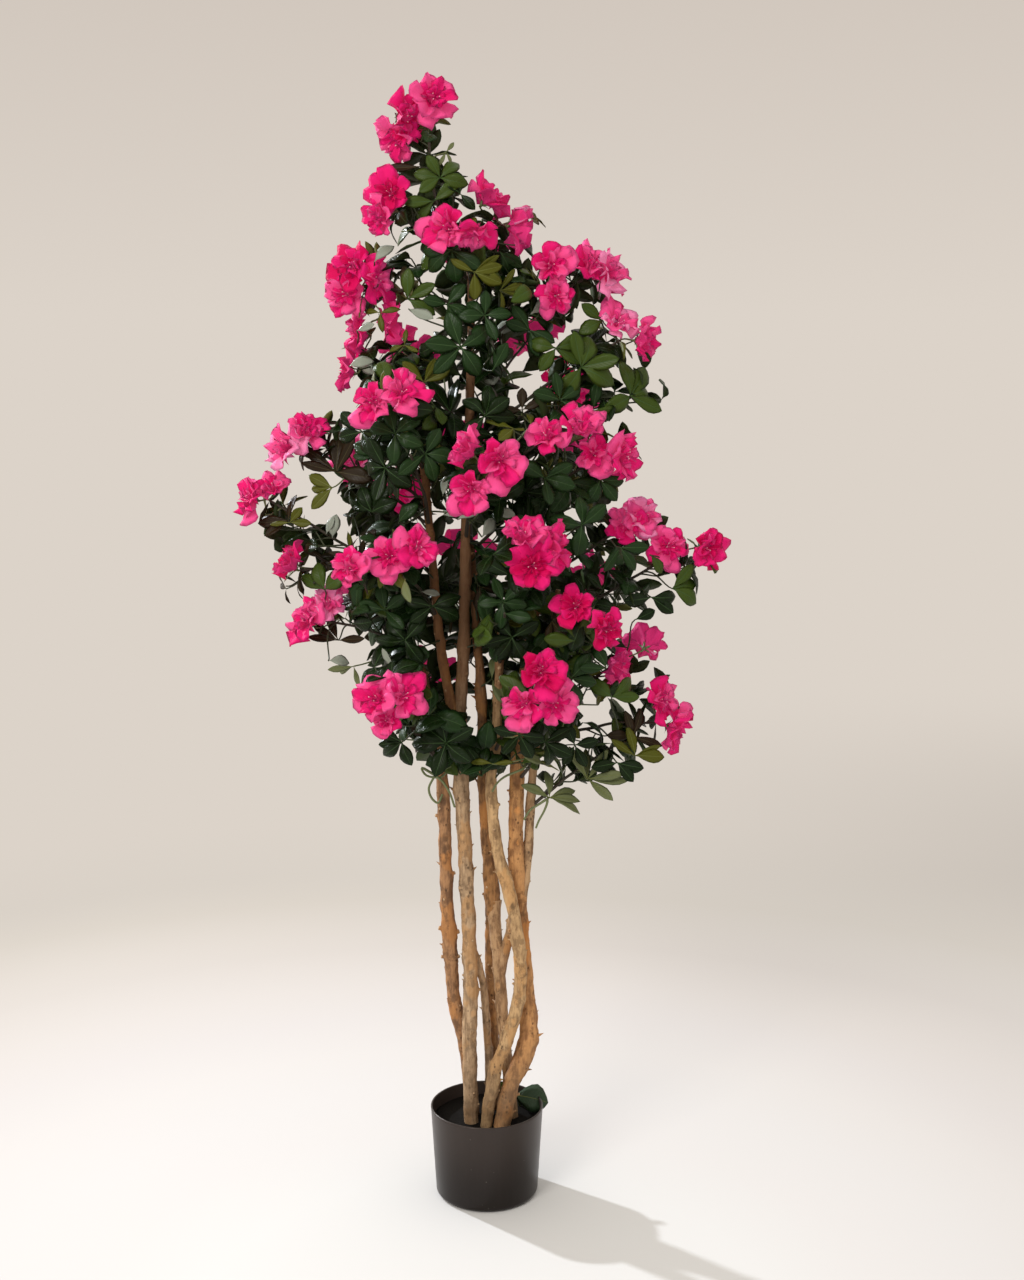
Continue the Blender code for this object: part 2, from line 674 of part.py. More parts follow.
def whorl(stations, spread, rng, allowed, taken, foot_plane=None):
    """Twig with a whorl, and its number of leaves; one with no room is cut or skipped."""
    root = stations[-1][0]
    axis, side, across = frames([s[0] for s in stations])[-1]
    start = rng.uniform(0, math.tau)
    turns = [start + math.tau * k / LEAVES_PER_WHORL for k in range(LEAVES_PER_WHORL)]
    outlines = []
    for turn in turns:
        spoke = side * math.cos(turn) + across * math.sin(turn)
        angle = rng.uniform(*spread)
        along = axis * math.cos(angle) + spoke * math.sin(angle)
        normal = axis * math.sin(angle) - spoke * math.cos(angle)
        outlines.append([])
        for size in LEAF_SIZES:
            leaf = leaf_outline(root, along, normal, LEAF_LENGTH * size)
            middle = (root + leaf[1]) / 2
            foot = root + along * 2 * BUD_RADIUS
            if allowed([tuple(p) for p in (*leaf, middle)]) and not overlaps([foot, *leaf], taken):
                outlines[-1] = leaf
                break
    grown = sum(1 for outline in outlines if outline)
    return stalked_whorl(stations, turns, outlines, foot_plane), grown


def grow_shoot(start, axis, rng, allowed, taken):
    """A side shoot and its whorl, or nothing where the space is too narrow for it."""
    for attempt in range(SHOOT_TRIES):
        turn = rng.uniform(0, math.tau)
        way = spread_round(axis, turn, SHOOT_SPREAD)
        way = (way + UP * 0.3).normalized()
        length = rng.uniform(*SHOOT_LENGTH) * (1 - 0.04 * attempt)
        end = start + way * length
        if not allowed([tuple(start.lerp(end, t)) for t in (0.35, 0.6, 0.8, 1.0)]):
            continue
        flank = way.orthogonal() * 3 * MM
        if overlaps([start.lerp(end, 0.2), end - flank, end + flank], taken):
            continue
        stations = [(start, SHOOT_ROOT_RADIUS), (end, SHOOT_RADIUS)]
        shape, grown = whorl(stations, LEAF_SPREAD, rng, allowed, taken)
        if grown >= LEAST_LEAVES:
            return shape
    return None


def line_at(line, share):
    """Point and direction at a share of a line's points."""
    place = min(share, 0.9999) * (len(line) - 1)
    k = int(place)
    return line[k].lerp(line[k + 1], place - k), (line[k + 1] - line[k]).normalized()


def spray_shapes(owner, spray, line, seat, plane, space):
    """All closed shapes of one spray, each sunk into the twig that carries it."""
    rng = random.Random("azalea " + spray.name)

    def allowed(points):
        return space.allows(points, owner)

    tip = Vector(spray.tip) * MM
    blooms = bloom_centres(spray) if spray.blooms else []
    shapes = []
    for bloom in blooms:
        look = (facing(tip) + (bloom - tip) / BLOOM_FAN).normalized()
        others = [other for other in blooms if other is not bloom]

        def free(point):
            own = (point - bloom).length + PETAL_MARGIN
            return all(own < (point - other).length for other in others) and allowed([point])

        shapes.append(stalked_bloom(line[-1], bloom, look, rng.uniform(0, math.tau), free))
    taken = [skin_of(shape) for shape in shapes]
    steps = len(line) - 1
    stations = [(p, TWIG_RADIUS + (TWIG_TIP_RADIUS - TWIG_RADIUS) * k / steps)
                for k, p in enumerate(line)]
    stations[0] = (seat, TWIG_RADIUS)
    spread = COLLAR_SPREAD if blooms else LEAF_SPREAD
    twig, _ = whorl(stations, spread, rng, allowed, taken, plane)
    shapes.insert(0, twig)
    taken.append(skin_of(twig))
    length = sum((b - a).length for a, b in zip(line, line[1:]))
    count = max(1 if blooms else 4, round(length / SHOOT_SPACING))
    for k in range(count):
        start, axis = line_at(line, 0.30 + 0.60 * (k + rng.uniform(0.2, 0.8)) / count)
        shoot = grow_shoot(start, axis, rng, allowed, taken)
        if shoot:
            shapes.append(shoot)
            taken.append(skin_of(shoot))
    return shapes


def union_of(name, shapes, colour, solver):
    """Object that unites the shapes, through one Boolean on a collection of them."""
    base = make_object(name, shapes[0], colour)
    tools = bpy.data.collections.new(name + "_tools")
    bpy.context.scene.collection.children.link(tools)
    for k, shape in enumerate(shapes[1:]):
        make_object(f"{name}_tool_{k}", shape, colour, tools)
    union = base.modifiers.new("union", "BOOLEAN")
    union.operation = "UNION"
    union.operand_type = "COLLECTION"
    union.collection = tools
    union.solver = solver
    bpy.context.view_layer.update()
    evaluated = base.evaluated_get(bpy.context.evaluated_depsgraph_get())
    joined = bpy.data.meshes.new_from_object(evaluated)
    base.modifiers.remove(union)
    loose = base.data
    base.data = joined
    bpy.data.meshes.remove(loose)
    for tool in list(tools.objects):
        mesh = tool.data
        bpy.data.objects.remove(tool)
        bpy.data.meshes.remove(mesh)
    bpy.data.collections.remove(tools)
    keep_main_body(joined)
    return base


def is_closed(mesh):
    """True where every edge joins just two faces."""
    bm = bmesh.new()
    bm.from_mesh(mesh)
    closed = all(len(edge.link_faces) == 2 for edge in bm.edges)
    bm.free()
    return closed


def join_shapes(name, shapes, colour):
    """One closed solid from the shapes of a spray; the last shoot goes where both solvers fail."""
    while True:
        for solver in ("EXACT", "MANIFOLD"):
            piece = union_of(name, shapes, colour, solver)
            if is_closed(piece.data):
                return piece
            mesh = piece.data
            bpy.data.objects.remove(piece)
            bpy.data.meshes.remove(mesh)
        shapes = shapes[:-1]


def keep_main_body(mesh):
    """Drop loose scraps and fill sealed hollows: only the largest outer skin stays."""
    bm = bmesh.new()
    bm.from_mesh(mesh)
    bmesh.ops.triangulate(bm, faces=bm.faces)
    todo = set(bm.faces)
    bodies = []
    while todo:
        seed = todo.pop()
        body = [seed]
        front = [seed]
        while front:
            face = front.pop()
            for edge in face.edges:
                for other in edge.link_faces:
                    if other in todo:
                        todo.remove(other)
                        body.append(other)
                        front.append(other)
        bodies.append(body)
    bodies.sort(key=body_volume)
    scrap = [face for body in bodies[:-1] for face in body]
    bmesh.ops.delete(bm, geom=scrap, context="FACES")
    bm.to_mesh(mesh)
    bm.free()


def body_volume(faces):
    """Signed volume of a closed set of triangles."""
    return sum(f.verts[0].co.dot(f.verts[1].co.cross(f.verts[2].co)) for f in faces) / 6


def make_sprays(woods, space):
    """Every spray of the crown, each joined into one solid."""
    roots = route_twigs(woods, space)
    for owner, (spray, (limb, height, line)) in enumerate(zip(SPRAYS, roots)):
        seat, plane = woods[limb].seat(height, line[0])
        shapes = spray_shapes(owner, spray, line, seat, plane, space)
        join_shapes(spray.name, shapes, "leaf_green")


def make_tuft():
    """The short twig with a few leaves that stands at the foot of the stems."""
    stations = [(TUFT_BASE, TWIG_RADIUS), (TUFT_TIP, TWIG_RADIUS)]
    axis, side, across = frames([s[0] for s in stations])[-1]
    turns = [math.radians(turn) for turn in TUFT_TURNS]
    outlines = []
    for turn in turns:
        spoke = side * math.cos(turn) + across * math.sin(turn)
        along = (spoke + axis * TUFT_LIFT).normalized()
        normal = (axis - along * along.dot(axis)).normalized()
        outlines.append(leaf_outline(TUFT_TIP, along, normal, TUFT_LEAF_LENGTH))
    make_object(TUFT_NAME, stalked_whorl(stations, turns, outlines, UP), "leaf_green")


# ---------------------------------------------------------------- main

def clear_scene():
    """Remove what the open file holds."""
    for item in list(bpy.data.objects):
        bpy.data.objects.remove(item)


def main():
    clear_scene()
    make_pot()
    make_fill()
    woods = make_limbs()
    make_sprays(woods, Space(woods))
    make_tuft()


main()
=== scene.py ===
"""Dressed artificial azalea tree: bark, wiry twigs, whorled leaves and double blooms.

Metres, +Z up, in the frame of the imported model: the origin is the centre of the pot's flat
underside and the front of the plant faces -Y.  Tables are in millimetres and degrees.
"""

import functools
import math
import random
from collections import namedtuple

import bpy
import numpy as np
from bpy.props import FloatProperty, FloatVectorProperty, IntProperty, PointerProperty
from mathutils import Matrix, Quaternion, Vector, noise
from mathutils.bvhtree import BVHTree


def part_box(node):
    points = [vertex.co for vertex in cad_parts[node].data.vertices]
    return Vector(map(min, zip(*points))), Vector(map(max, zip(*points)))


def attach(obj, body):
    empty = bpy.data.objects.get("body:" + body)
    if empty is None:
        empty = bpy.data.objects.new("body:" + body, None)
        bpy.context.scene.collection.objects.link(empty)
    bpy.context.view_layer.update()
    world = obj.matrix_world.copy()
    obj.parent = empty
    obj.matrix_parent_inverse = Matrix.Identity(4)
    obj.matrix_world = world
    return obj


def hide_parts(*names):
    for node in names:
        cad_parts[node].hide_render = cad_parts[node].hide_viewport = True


bl_info = {
    "name": "Azalea tree",
    "version": (1, 0, 0),
    "blender": (4, 5, 0),
    "location": "3D View > Sidebar > Azalea",
    "description": "Builds an artificial azalea tree on wood stems in a pot, with its stage",
    "category": "Add Mesh",
}

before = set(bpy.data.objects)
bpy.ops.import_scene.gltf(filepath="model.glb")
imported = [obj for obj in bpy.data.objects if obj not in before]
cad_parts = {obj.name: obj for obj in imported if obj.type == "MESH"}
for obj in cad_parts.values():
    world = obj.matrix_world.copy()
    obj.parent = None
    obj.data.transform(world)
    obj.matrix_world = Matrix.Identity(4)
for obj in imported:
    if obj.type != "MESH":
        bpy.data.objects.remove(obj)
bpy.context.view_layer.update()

MM = 0.001
UP = Vector((0, 0, 1))
BODY = "root"
GAP = 0.3 * MM  # air between a limb's end and the limb that carries it


def mm(point):
    """A place in millimetres as a vector in metres."""
    return Vector(point) * MM


def square_to(axis, way):
    """The share of a direction that is square to an axis, at unit length."""
    return (way - axis * way.dot(axis)).normalized()


def turned(side, across, turn):
    """The direction at a turn from one side toward another."""
    return side * math.cos(turn) + across * math.sin(turn)


# ---- wood

WOOD_SIDES = 8  # of the plain limbs that the twigs are routed round
RINGS_PER_SPAN = 2
FOOT = 108.3  # height of the stems' flat cuts, in mm
ELBOW_OUT = 1.3  # a seated limb's first bend, in its own radii
ELBOW_RISE = 1.1

Limb = namedtuple("Limb", "name colour foot_on tip_on stations")

# stations are (x, y, z, radius) in mm; foot_on and tip_on are (limb, height in mm)
LIMBS = (
    Limb("stem_main", "wood_grey", None, None, (
        (-21, -18, FOOT, 10.2), (-23, -17, 229, 10.0), (-22, -15, 329, 9.8),
        (-26, -12, 442, 9.7), (-32, -8, 567, 9.6), (-35, -5, 670, 9.2), (-29, 0, 785, 7.6),
        (-25, 0, 971, 6.4), (-19, 0, 1114, 5.2), (-18, 0, 1228, 4.2), (-21, 0, 1291, 3.2))),
    Limb("stem_left", "wood_red", None, None, (
        (-20, 8, FOOT, 8.6), (-29, 5, 200, 8.8), (-44, 0, 280, 8.9), (-50, -4, 368, 8.7),
        (-55, -6, 469, 8.6), (-57, -6, 567, 8.3), (-65, 0, 642, 7.2), (-79, 6, 716, 5.8),
        (-101, 10, 783, 4.0))),
    Limb("stem_thin", "wood_grey", None, ("stem_main", 345), (
        (5, 8, FOOT, 6.0), (2, 8, 203, 5.8), (-2, 5, 270, 5.4), (-7, 0, 315, 5.0))),
    Limb("stem_twisted", "wood_dark", None, None, (
        (14, 27, FOOT, 6.2), (11, 24, 213, 5.8), (5, 20, 324, 7.0), (9, 17, 406, 10.6),
        (1, 15, 491, 8.2), (-4, 14, 590, 7.0), (-6, 13, 714, 6.4), (-14, 15, 809, 5.2),
        (-18, 21, 916, 3.6))),
    Limb("stem_forked", "wood_tan", None, ("stem_twisted", 392), (
        (36, 0, FOOT, 7.8), (25, -2, 223, 7.6), (19, -1, 300, 8.2), (17, 1, 345, 9.0),
        (13, 4, 368, 8.2))),
    Limb("stem_crossing", "wood_light", None, None, (
        (-1, -31, FOOT, 8.4), (10, -38, 186, 8.7), (28, -44, 240, 8.8), (46, -47, 313, 8.6),
        (43, -46, 384, 8.4), (32, -40, 445, 8.2), (15, -28, 508, 8.0), (7, -20, 590, 7.4),
        (14, -12, 657, 6.6), (19, -12, 773, 5.4), (22, -14, 841, 4.0))),
    Limb("stem_orange", "wood_orange", None, None, (
        (20, -35, FOOT, 11.0), (34, -30, 172, 11.6), (57, -24, 232, 12.8), (54, -21, 303, 11.2),
        (47, -20, 388, 11.0), (41, -14, 485, 10.4), (41, -6, 581, 10.2), (47, 2, 696, 8.4),
        (59, 8, 783, 6.4), (79, 14, 876, 4.0))),
    Limb("fork_arm", "wood_tan", ("stem_forked", 344), ("stem_orange", 404), (
        (29, -6, 366, 6.6), (32, -9, 382, 5.8))),
    Limb("bough_right", "wood_tan", ("stem_orange", 432), None, (
        (56, -6, 490, 6.6), (62, 4, 592, 6.2), (70, 10, 674, 5.6), (80, 6, 770, 4.6),
        (96, 0, 852, 3.4))),
    Limb("bough_left", "wood_orange", ("stem_main", 668), None, (
        (-52, -8, 730, 6.8), (-62, -9, 799, 6.2), (-72, -7, 919, 5.2), (-79, 0, 997, 4.4),
        (-86, 4, 1049, 3.4))),
)


# ---- sprays

Spray = namedtuple("Spray", "name tip blooms")

# tip is (x, y, z) in mm; a bloom is its place beside the tip as (x, z) in mm and, where it is
# chosen, the way it looks in degrees round from the front toward +X and up, its tint and size
# a chosen bloom tint of 1 is painted light, paler as if lit from behind, and of 2 painted shade
SPRAYS = tuple(Spray("spray_" + name, tip, blooms) for name, tip, blooms in (
    ("top", (-86, 0, 1448), ((24, 32, 30, 12, 0), (-11, 6, 55, -8, 2),
        (-26, -22, -50, -35, 0))),
    ("high_left", (-124, -30, 1348), ((5, 13, -12, 8), (-9, -20, -45, -12))),
    ("high_right", (26, 0, 1340), ((-18, 19, 100, 45), (18, -21, 98, -5))),
    ("high_front", (-19, -80, 1308), ((10, -4, 18, -62, 0), (-26, 8, -25, 10, 0))),
    ("upper_left", (-171, -20, 1251), ((2, 22, -22, 22), (-7, -15, -16, 4),
        (36, 5, 60, 12))),
    ("upper_left_low", (-172, 10, 1172), ((50, 33, 118, 4), (5, 11, -80, 0),
        (-13, -36, -85, 6))),
    ("left_front", (-119, -150, 1111), ((-15, -4, -12, 26), (21, 10, 22, 34))),
    ("left_arm_high", (-249, -10, 1052), ((-13, -9, -45, 28), (17, 13, 25, 50))),
    ("left_arm_tip", (-301, 0, 981), ((-13, -8, -66, 12), (19, 10, -25, 48))),
    ("left_inner", (-140, 30, 1002), ((25, -24, 20, 0), (-30, 25, -40, 20))),
    ("left_mid", (-259, -30, 892), ((0, 0, -72, 34),)),
    ("front_left", (-125, -150, 917), ((-44, -15, -30, 16), (8, 0, 0, 12),
        (46, 14, 24, 26))),
    ("left_low", (-229, -30, 825), ((-8, -7, -58, 30), (26, 17, 20, 45))),
    ("low_left_front", (-120, -160, 736), ((-18, 4, -34, 24), (21, 8, 26, 22),
        (-2, -20, 0, 34, 0, 0.7))),
    ("low_right_front", (65, -160, 748), ((6, 28, 10, 30), (-16, -15, -28, 2),
        (24, -16, 26, -6))),
    ("right_low", (198, 10, 764), ((20, 15, 150, 18, 1), (-20, -14, 60, -8))),
    ("right_low_tip", (246, 0, 681), ((-8, 23, 55, 22), (10, -21, 78, -28))),
    ("right_mid_front", (134, -140, 844), ((-20, 10, -12, 16), (21, -20, 42, -2))),
    ("centre_front", (68, -175, 927), ((-21, 22, -10, 58), (-8, -19, 0, 4),
        (26, 4, 80, 10))),
    ("right_arm", (269, 0, 910), ((-26, 0, 12, 8), (26, -1, 32, 8))),
    ("right_arm_high", (193, 10, 940), ((-10, -3, -20, 20), (16, 11, 18, 40))),
    ("mid_front", (-4, -170, 1027), ((25, 11, 12, 12), (-11, -26, -10, -6),
        (-21, 22, -68, 28))),
    ("right_front_high", (96, -100, 1070), ((-18, -4, -12, 44), (24, 5, 22, 50))),
    ("right_mid_high", (159, -60, 1038), ((-20, -1, 0, 12, 0), (23, -5, 60, 0))),
    ("upper_right", (88, -30, 1250), ((-4, 21, 0, 6, 0), (5, -19, 10, -10, 0))),
    ("upper_right_tip", (153, 10, 1270), ((-14, 6, 38, 38), (12, -6, 60, 18))),
    ("right_high", (192, 0, 1189), ((-17, 13, 38, 30), (17, -14, 70, -6))),
    ("right_inner", (104, 70, 1118), ((-10, 16, 30, 10), (14, -16, 18, 0))),
    ("leafy_low_right", (172, -20, 646), ()),
    ("leafy_low_left", (-70, -90, 704), ()),
    ("leafy_low_mid", (98, -80, 668), ()),
    ("leafy_left_front", (-90, -130, 1040), ()),
    ("leafy_high_front", (-17, -85, 1191), ()),
    ("leafy_right_edge", (200, 10, 1110), ()),
    ("leafy_mid_front", (26, -130, 842), ()),
    ("back_top", (-25, 95, 1285), ((-18, 6), (20, -6))),
    ("back_high_left", (-110, 150, 1160), ((-16, 12), (16, -12))),
    ("back_high_right", (62, 155, 1185), ((-18, -8), (18, 10))),
    ("back_left", (-190, 150, 1010), ((-12, 18), (12, -16))),
    ("back_middle", (-40, 215, 1035), ((-22, 2), (20, 6))),
    ("back_right", (132, 190, 1015), ((-16, 14), (18, -12))),
    ("back_left_low", (-185, 165, 850), ((-18, -6), (18, 10))),
    ("back_middle_low", (-30, 235, 872), ((-20, 10), (20, -8))),
    ("back_right_low", (138, 195, 845), ((-14, -14), (16, 14))),
    ("back_low_left", (-90, 165, 715), ((-18, 8), (18, -6))),
    ("back_low_right", (62, 180, 705), ((-16, -10), (18, 8))),
))

# how much bigger some sprays' blooms are
BIG_BLOOMS = {"spray_high_right": 1.16, "spray_low_left_front": 1.08,
              "spray_right_low_tip": 1.14, "spray_top": 1.06, "spray_upper_right_tip": 1.1}
# sprays whose blooms look out between leaves
HALF_HIDDEN = ("spray_left_inner", "spray_right_inner", "spray_upper_left_low")

# whorls that stand out: x, y, z in mm, tint, leaf length in mm, the way they look in degrees
# round from the front and up, and their leaves' turns in degrees clockwise from the top
STARS = (
    (-29, -75, 1170, 1, 47, 0, 5, (-26, -84, -132, 151, 61)),
    (1, -65, 1209, 1, 34, 10, 10, (4, 84, -56, -95, 162)),
    (-96, -45, 1229, 2, 37, -5, 5, (2, -58, 55, 115)),
    (-46, -60, 1222, 1, 34, 5, 15, (165, 120, -75, 40)),
    (-132, -35, 1212, 3, 28, -20, 15, (5, -87, 75, 165)),
    (-101, -50, 1172, 3, 22, 0, 10, (-112, 115, 0)),
    (-76, -60, 1126, 3, 34, 10, 5, (33, 69, -43, 188)),
    (1, -85, 1085, 0, 42, 10, 10, (9, 58, 90, -45, -126)),
    (-109, -120, 1065, 1, 41, -15, 15, (-15, 50, 110, 175, -70)),
    (-73, -115, 1040, 1, 41, 10, 10, (-30, 35, 100, 165, -120)),
    (-123, -105, 1022, 0, 41, -20, 5, (60, 120, -170, -85, -20)),
    (-153, -80, 1065, 0, 39, -25, 15, (-95, -55, 60, 150)),
    (-133, -85, 1036, 1, 39, -30, 10, (-75, -100, 170)),
    (152, 0, 1202, 2, 38, 15, 10, (12, -62, -112)),
    (123, -35, 1144, 2, 48, 10, 8, (-8, 20, 80, 125, -150)),
    (188, 0, 1106, 2, 50, 30, 10, (-3, 38, 73, 109, -117)),
    (-12, -70, 1262, 3, 37, 10, -5, (73, 50, -56, 170, 110)),
    (20, -50, 1240, 3, 31, 30, 0, (77, 97, 40, 180)),
    (-55, -25, 1379, 2, 35, 0, 10, (50, -35, -78, 100, -120)),
    (-48, -15, 1411, 5, 19, 10, 10, (150, -150, 40)),
    (-63, -30, 1350, 2, 35, -15, 5, (-100, -70, -140, 60)),
    (-30, -30, 1359, 0, 26, 15, 20, (3, -50, 150, 80)),
    (-81, -5, 1394, 4, 44, -20, 20, (-93, -60)),
    (-40, -60, 1289, 1, 42, -5, 0, (-85, -130, 178, 115)),
    (20, -20, 1288, 1, 39, 40, 0, (113, 70, 150)),
    (-134, -40, 1247, 0, 31, -30, 10, (-10, 40, 130, -120)),
    (-193, -15, 1009, 4, 49, -20, 20, (-85, -50, -8, 30, 95)),
    (-197, -30, 990, 3, 37, -30, 5, (-72, -102, -145)),
    (-258, -5, 945, 4, 39, -30, 10, (5, -98, -127, -40)),
    (-255, -12, 943, 3, 29, -10, 15, (88, 50, -100)),
    (-146, -35, 959, 0, 41, -20, 10, (30, -20, 75, -60)),
    (-208, -40, 858, 2, 40, -30, 15, (-68, -20, 60, 150)),
    (122, -105, 950, 1, 39, 10, 5, (-80, 7, 58, 120, -166)),
    (24, -115, 854, 1, 35, 0, 8, (-28, 38, 102, 186, -97)),
    (35, -115, 809, 0, 36, 0, 5, (-106, -35, 52, 160, -152)),
    (217, -25, 846, 0, 40, 10, 5, (-98, 173, 133, 99)),
    (246, -10, 855, 2, 42, 20, 10, (86, 42, 117)),
    (173, -70, 917, 1, 37, 20, 10, (-40, 30, 90, 150, -140)),
    (76, -95, 1008, 1, 41, 0, 10, (70, 112, -60, 175)),
    (147, -60, 1003, 1, 36, 30, 0, (60, 100, 140, -160)),
    (20, -90, 980, 0, 34, -10, 20, (170, -95, -60, 60)),
    (-50, -95, 667, 0, 45, 0, 8, (68, 124, -11, -60, -94, -163)),
    (-32, -85, 623, 1, 33, 10, 45, (88, 55)), (-3, -80, 627, 0, 35, 0, 10, (8, -40, 60)),
    (10, -90, 638, 3, 30, 0, 30, (-75, 95)),
    (-106, -110, 672, 0, 34, -20, 5, (-95, -62, 150, -130)),
    (-195, -10, 786, 4, 43, -20, 10, (-92, -62, -20, 80)),
    (-174, -20, 753, 5, 32, -30, 0, (-92, -104, 150)),
    (-128, -70, 836, 1, 39, -15, 10, (-80, 60, 120, -10)),
    (-67, -80, 843, 0, 38, 5, 10, (70, 120, -70, -130)),
    (-102, -85, 800, 0, 38, -5, 0, (-100, -40, 40, 150)),
    (110, -100, 753, 1, 40, 5, 10, (-95, 98, 169, 47, -40)),
    (155, -95, 765, 1, 35, 15, 10, (-14, 50, -80)),
    (165, -60, 720, 2, 39, 20, 10, (62, 100, -60)),
    (195, -20, 658, 4, 40, 20, 0, (-23, 18, 114, -90)),
    (198, -30, 634, 3, 39, 10, 10, (-51, -15, 72, 100)),
    (174, -40, 627, 0, 36, 10, 0, (109, 140, -100)),
    (135, -45, 606, 5, 48, 15, 40, (-34, 12, 40, 86, 106, 150)),
    (84, -40, 579, 5, 46, 20, 48, (76, 104, 118, 4, -60)),
    (78, -90, 667, 0, 38, 5, 5, (-95, -50, 60, 115, 170)),
    (117, -60, 656, 0, 34, 10, -5, (-30, 150, 80, -150)),
    (45, -100, 679, 0, 34, 0, 0, (-80, 100, 160, -140)),
    (214, -40, 904, 2, 35, 30, 5, (110, 60, 150)), (196, -30, 817, 0, 31, 20, 0, (120, 160, 70)),
    (96, -50, 1103, 1, 37, 20, 10, (-75, 60, 120, -10)),
    (135, -40, 1090, 2, 40, 20, -5, (170, 140, -150, 100)),
    (48, -55, 1091, 4, 28, 0, 10, (0, 60, -100)),
    (58, -20, 1190, 1, 39, 10, 5, (-30, -80, 40, 110, 170)),
    (91, -30, 1168, 2, 37, 0, 0, (-80, 80, 130, -140)),
    # rows of tint 6 are single leaves with a painted glint
    (-170, -60, 1146, 6, 30, -20, 35, (80,)), (-160, -55, 1190, 6, 27, -10, 30, (75,)),
    (-138, -40, 1275, 6, 36, -10, 20, (45,)), (-94, -70, 1217, 6, 34, 0, 30, (122,)),
    (-52, -95, 986, 6, 27, -10, 10, (8,)), (-34, -85, 955, 6, 37, -15, 25, (50,)),
    (-52, -80, 960, 6, 20, 0, 30, (80,)), (12, -80, 966, 6, 30, 10, 30, (110,)),
    (-206, -30, 930, 6, 26, -15, 10, (20,)), (-203, -60, 768, 6, 27, 0, 40, (80,)),
    (-3, -80, 932, 6, 30, 0, 15, (30,)), (-198, -30, 925, 6, 30, 0, 10, (15,)),
    (-82, -70, 860, 6, 25, 0, 30, (100,)),
)

# open lines as they show from the front on the plane of the stems: (x, z) to (x, z) and
# half width in mm, and whether leaves behind the stems keep out too
VIEW_GAPS = (
    (-22, 1252, -22, 1220, 8, 0), (-21, 1133, -21, 1085, 11, 0), (-82, 1004, -69, 930, 12, 0),
    (-27, 946, -28, 729, 13, 0), (-63, 880, -45, 703, 12, 0), (-1, 754, 22, 634, 10, 0),
    (-67, 1188, -72, 1200, 10, 1), (50, 1171, 38, 1147, 13, 1), (61, 1121, 43, 1103, 13, 1),
    (-215, 955, -198, 956, 13, 1), (164, 673, 142, 677, 12, 1), (-46, 771, -46, 760, 8, 1),
    (-26, 854, -26, 845, 9, 1), (99, 641, 99, 635, 9, 1), (-180, 768, -180, 760, 10, 1),
    (204, 872, 200, 870, 9, 1), (-14, 717, -19, 648, 7, 1), (19, 872, 19, 866, 9, 1),
)
# the crown's left and right edges as they show from the front, in mm, at even heights
EDGE_FOOT, EDGE_STEP = 560, 35
CROWN_EDGES = (
    (-60, 150), (-85, 210), (-130, 262), (-165, 274), (-187, 269), (-205, 243), (-235, 242),
    (-262, 252), (-262, 280), (-270, 305), (-270, 315), (-305, 285), (-315, 170), (-300, 206),
    (-262, 193), (-225, 212), (-192, 241), (-190, 233), (-185, 226), (-200, 190), (-200, 172),
    (-160, 150), (-138, 63), (-140, 12), (-130, -33), (-110, -38), (-98, -38), (-86, -50),
)
# the crown's lower edge as it shows from the front: x and height in mm
CROWN_FOOT_LINE = (
    (-340, 870), (-240, 800), (-200, 735), (-150, 690), (-110, 640), (-75, 600), (-40, 592),
    (0, 590), (20, 606), (60, 608), (72, 580), (90, 566), (130, 560), (150, 585), (200, 600),
    (240, 640), (300, 700),
)

# shares of the leaf tints: deep, blue, mid, olive, brown, grey
TINT_SHARES = (42, 26, 14, 12, 5, 1)
SPRAY_TINTS = {
    "spray_left_arm_high": (24, 10, 8, 12, 46, 0),
    "spray_left_arm_tip": (20, 6, 12, 16, 46, 0),
    "spray_left_low": (20, 10, 8, 10, 52, 0),
    "spray_left_mid": (30, 14, 14, 16, 26, 0),
    "spray_upper_left": (24, 14, 18, 30, 10, 4),
    "spray_upper_left_low": (20, 14, 20, 40, 6, 0),
    "spray_high_front": (24, 24, 14, 38, 0, 0),
    "spray_top": (26, 20, 30, 20, 4, 0),
    "spray_leafy_low_mid": (10, 10, 24, 16, 0, 40),
    "spray_leafy_low_right": (18, 10, 22, 24, 0, 26),
}


# ---- node trees

OPERATORS = (
    ("add", "ADD"), ("sub", "SUBTRACT"), ("mul", "MULTIPLY"), ("pow", "POWER"),
)


class Value:
    """A socket of a node tree; a sum that is written with it adds Math nodes."""

    def __init__(self, nodes, socket):
        self.nodes = nodes
        self.socket = socket


def overload(name, operation):
    """Give Value one operator and its reflected form."""
    setattr(Value, f"__{name}__", lambda a, b: a.nodes.math(operation, a, b))
    setattr(Value, f"__r{name}__", lambda a, b: a.nodes.math(operation, b, a))


for operator_name, operator_kind in OPERATORS:
    overload(operator_name, operator_kind)


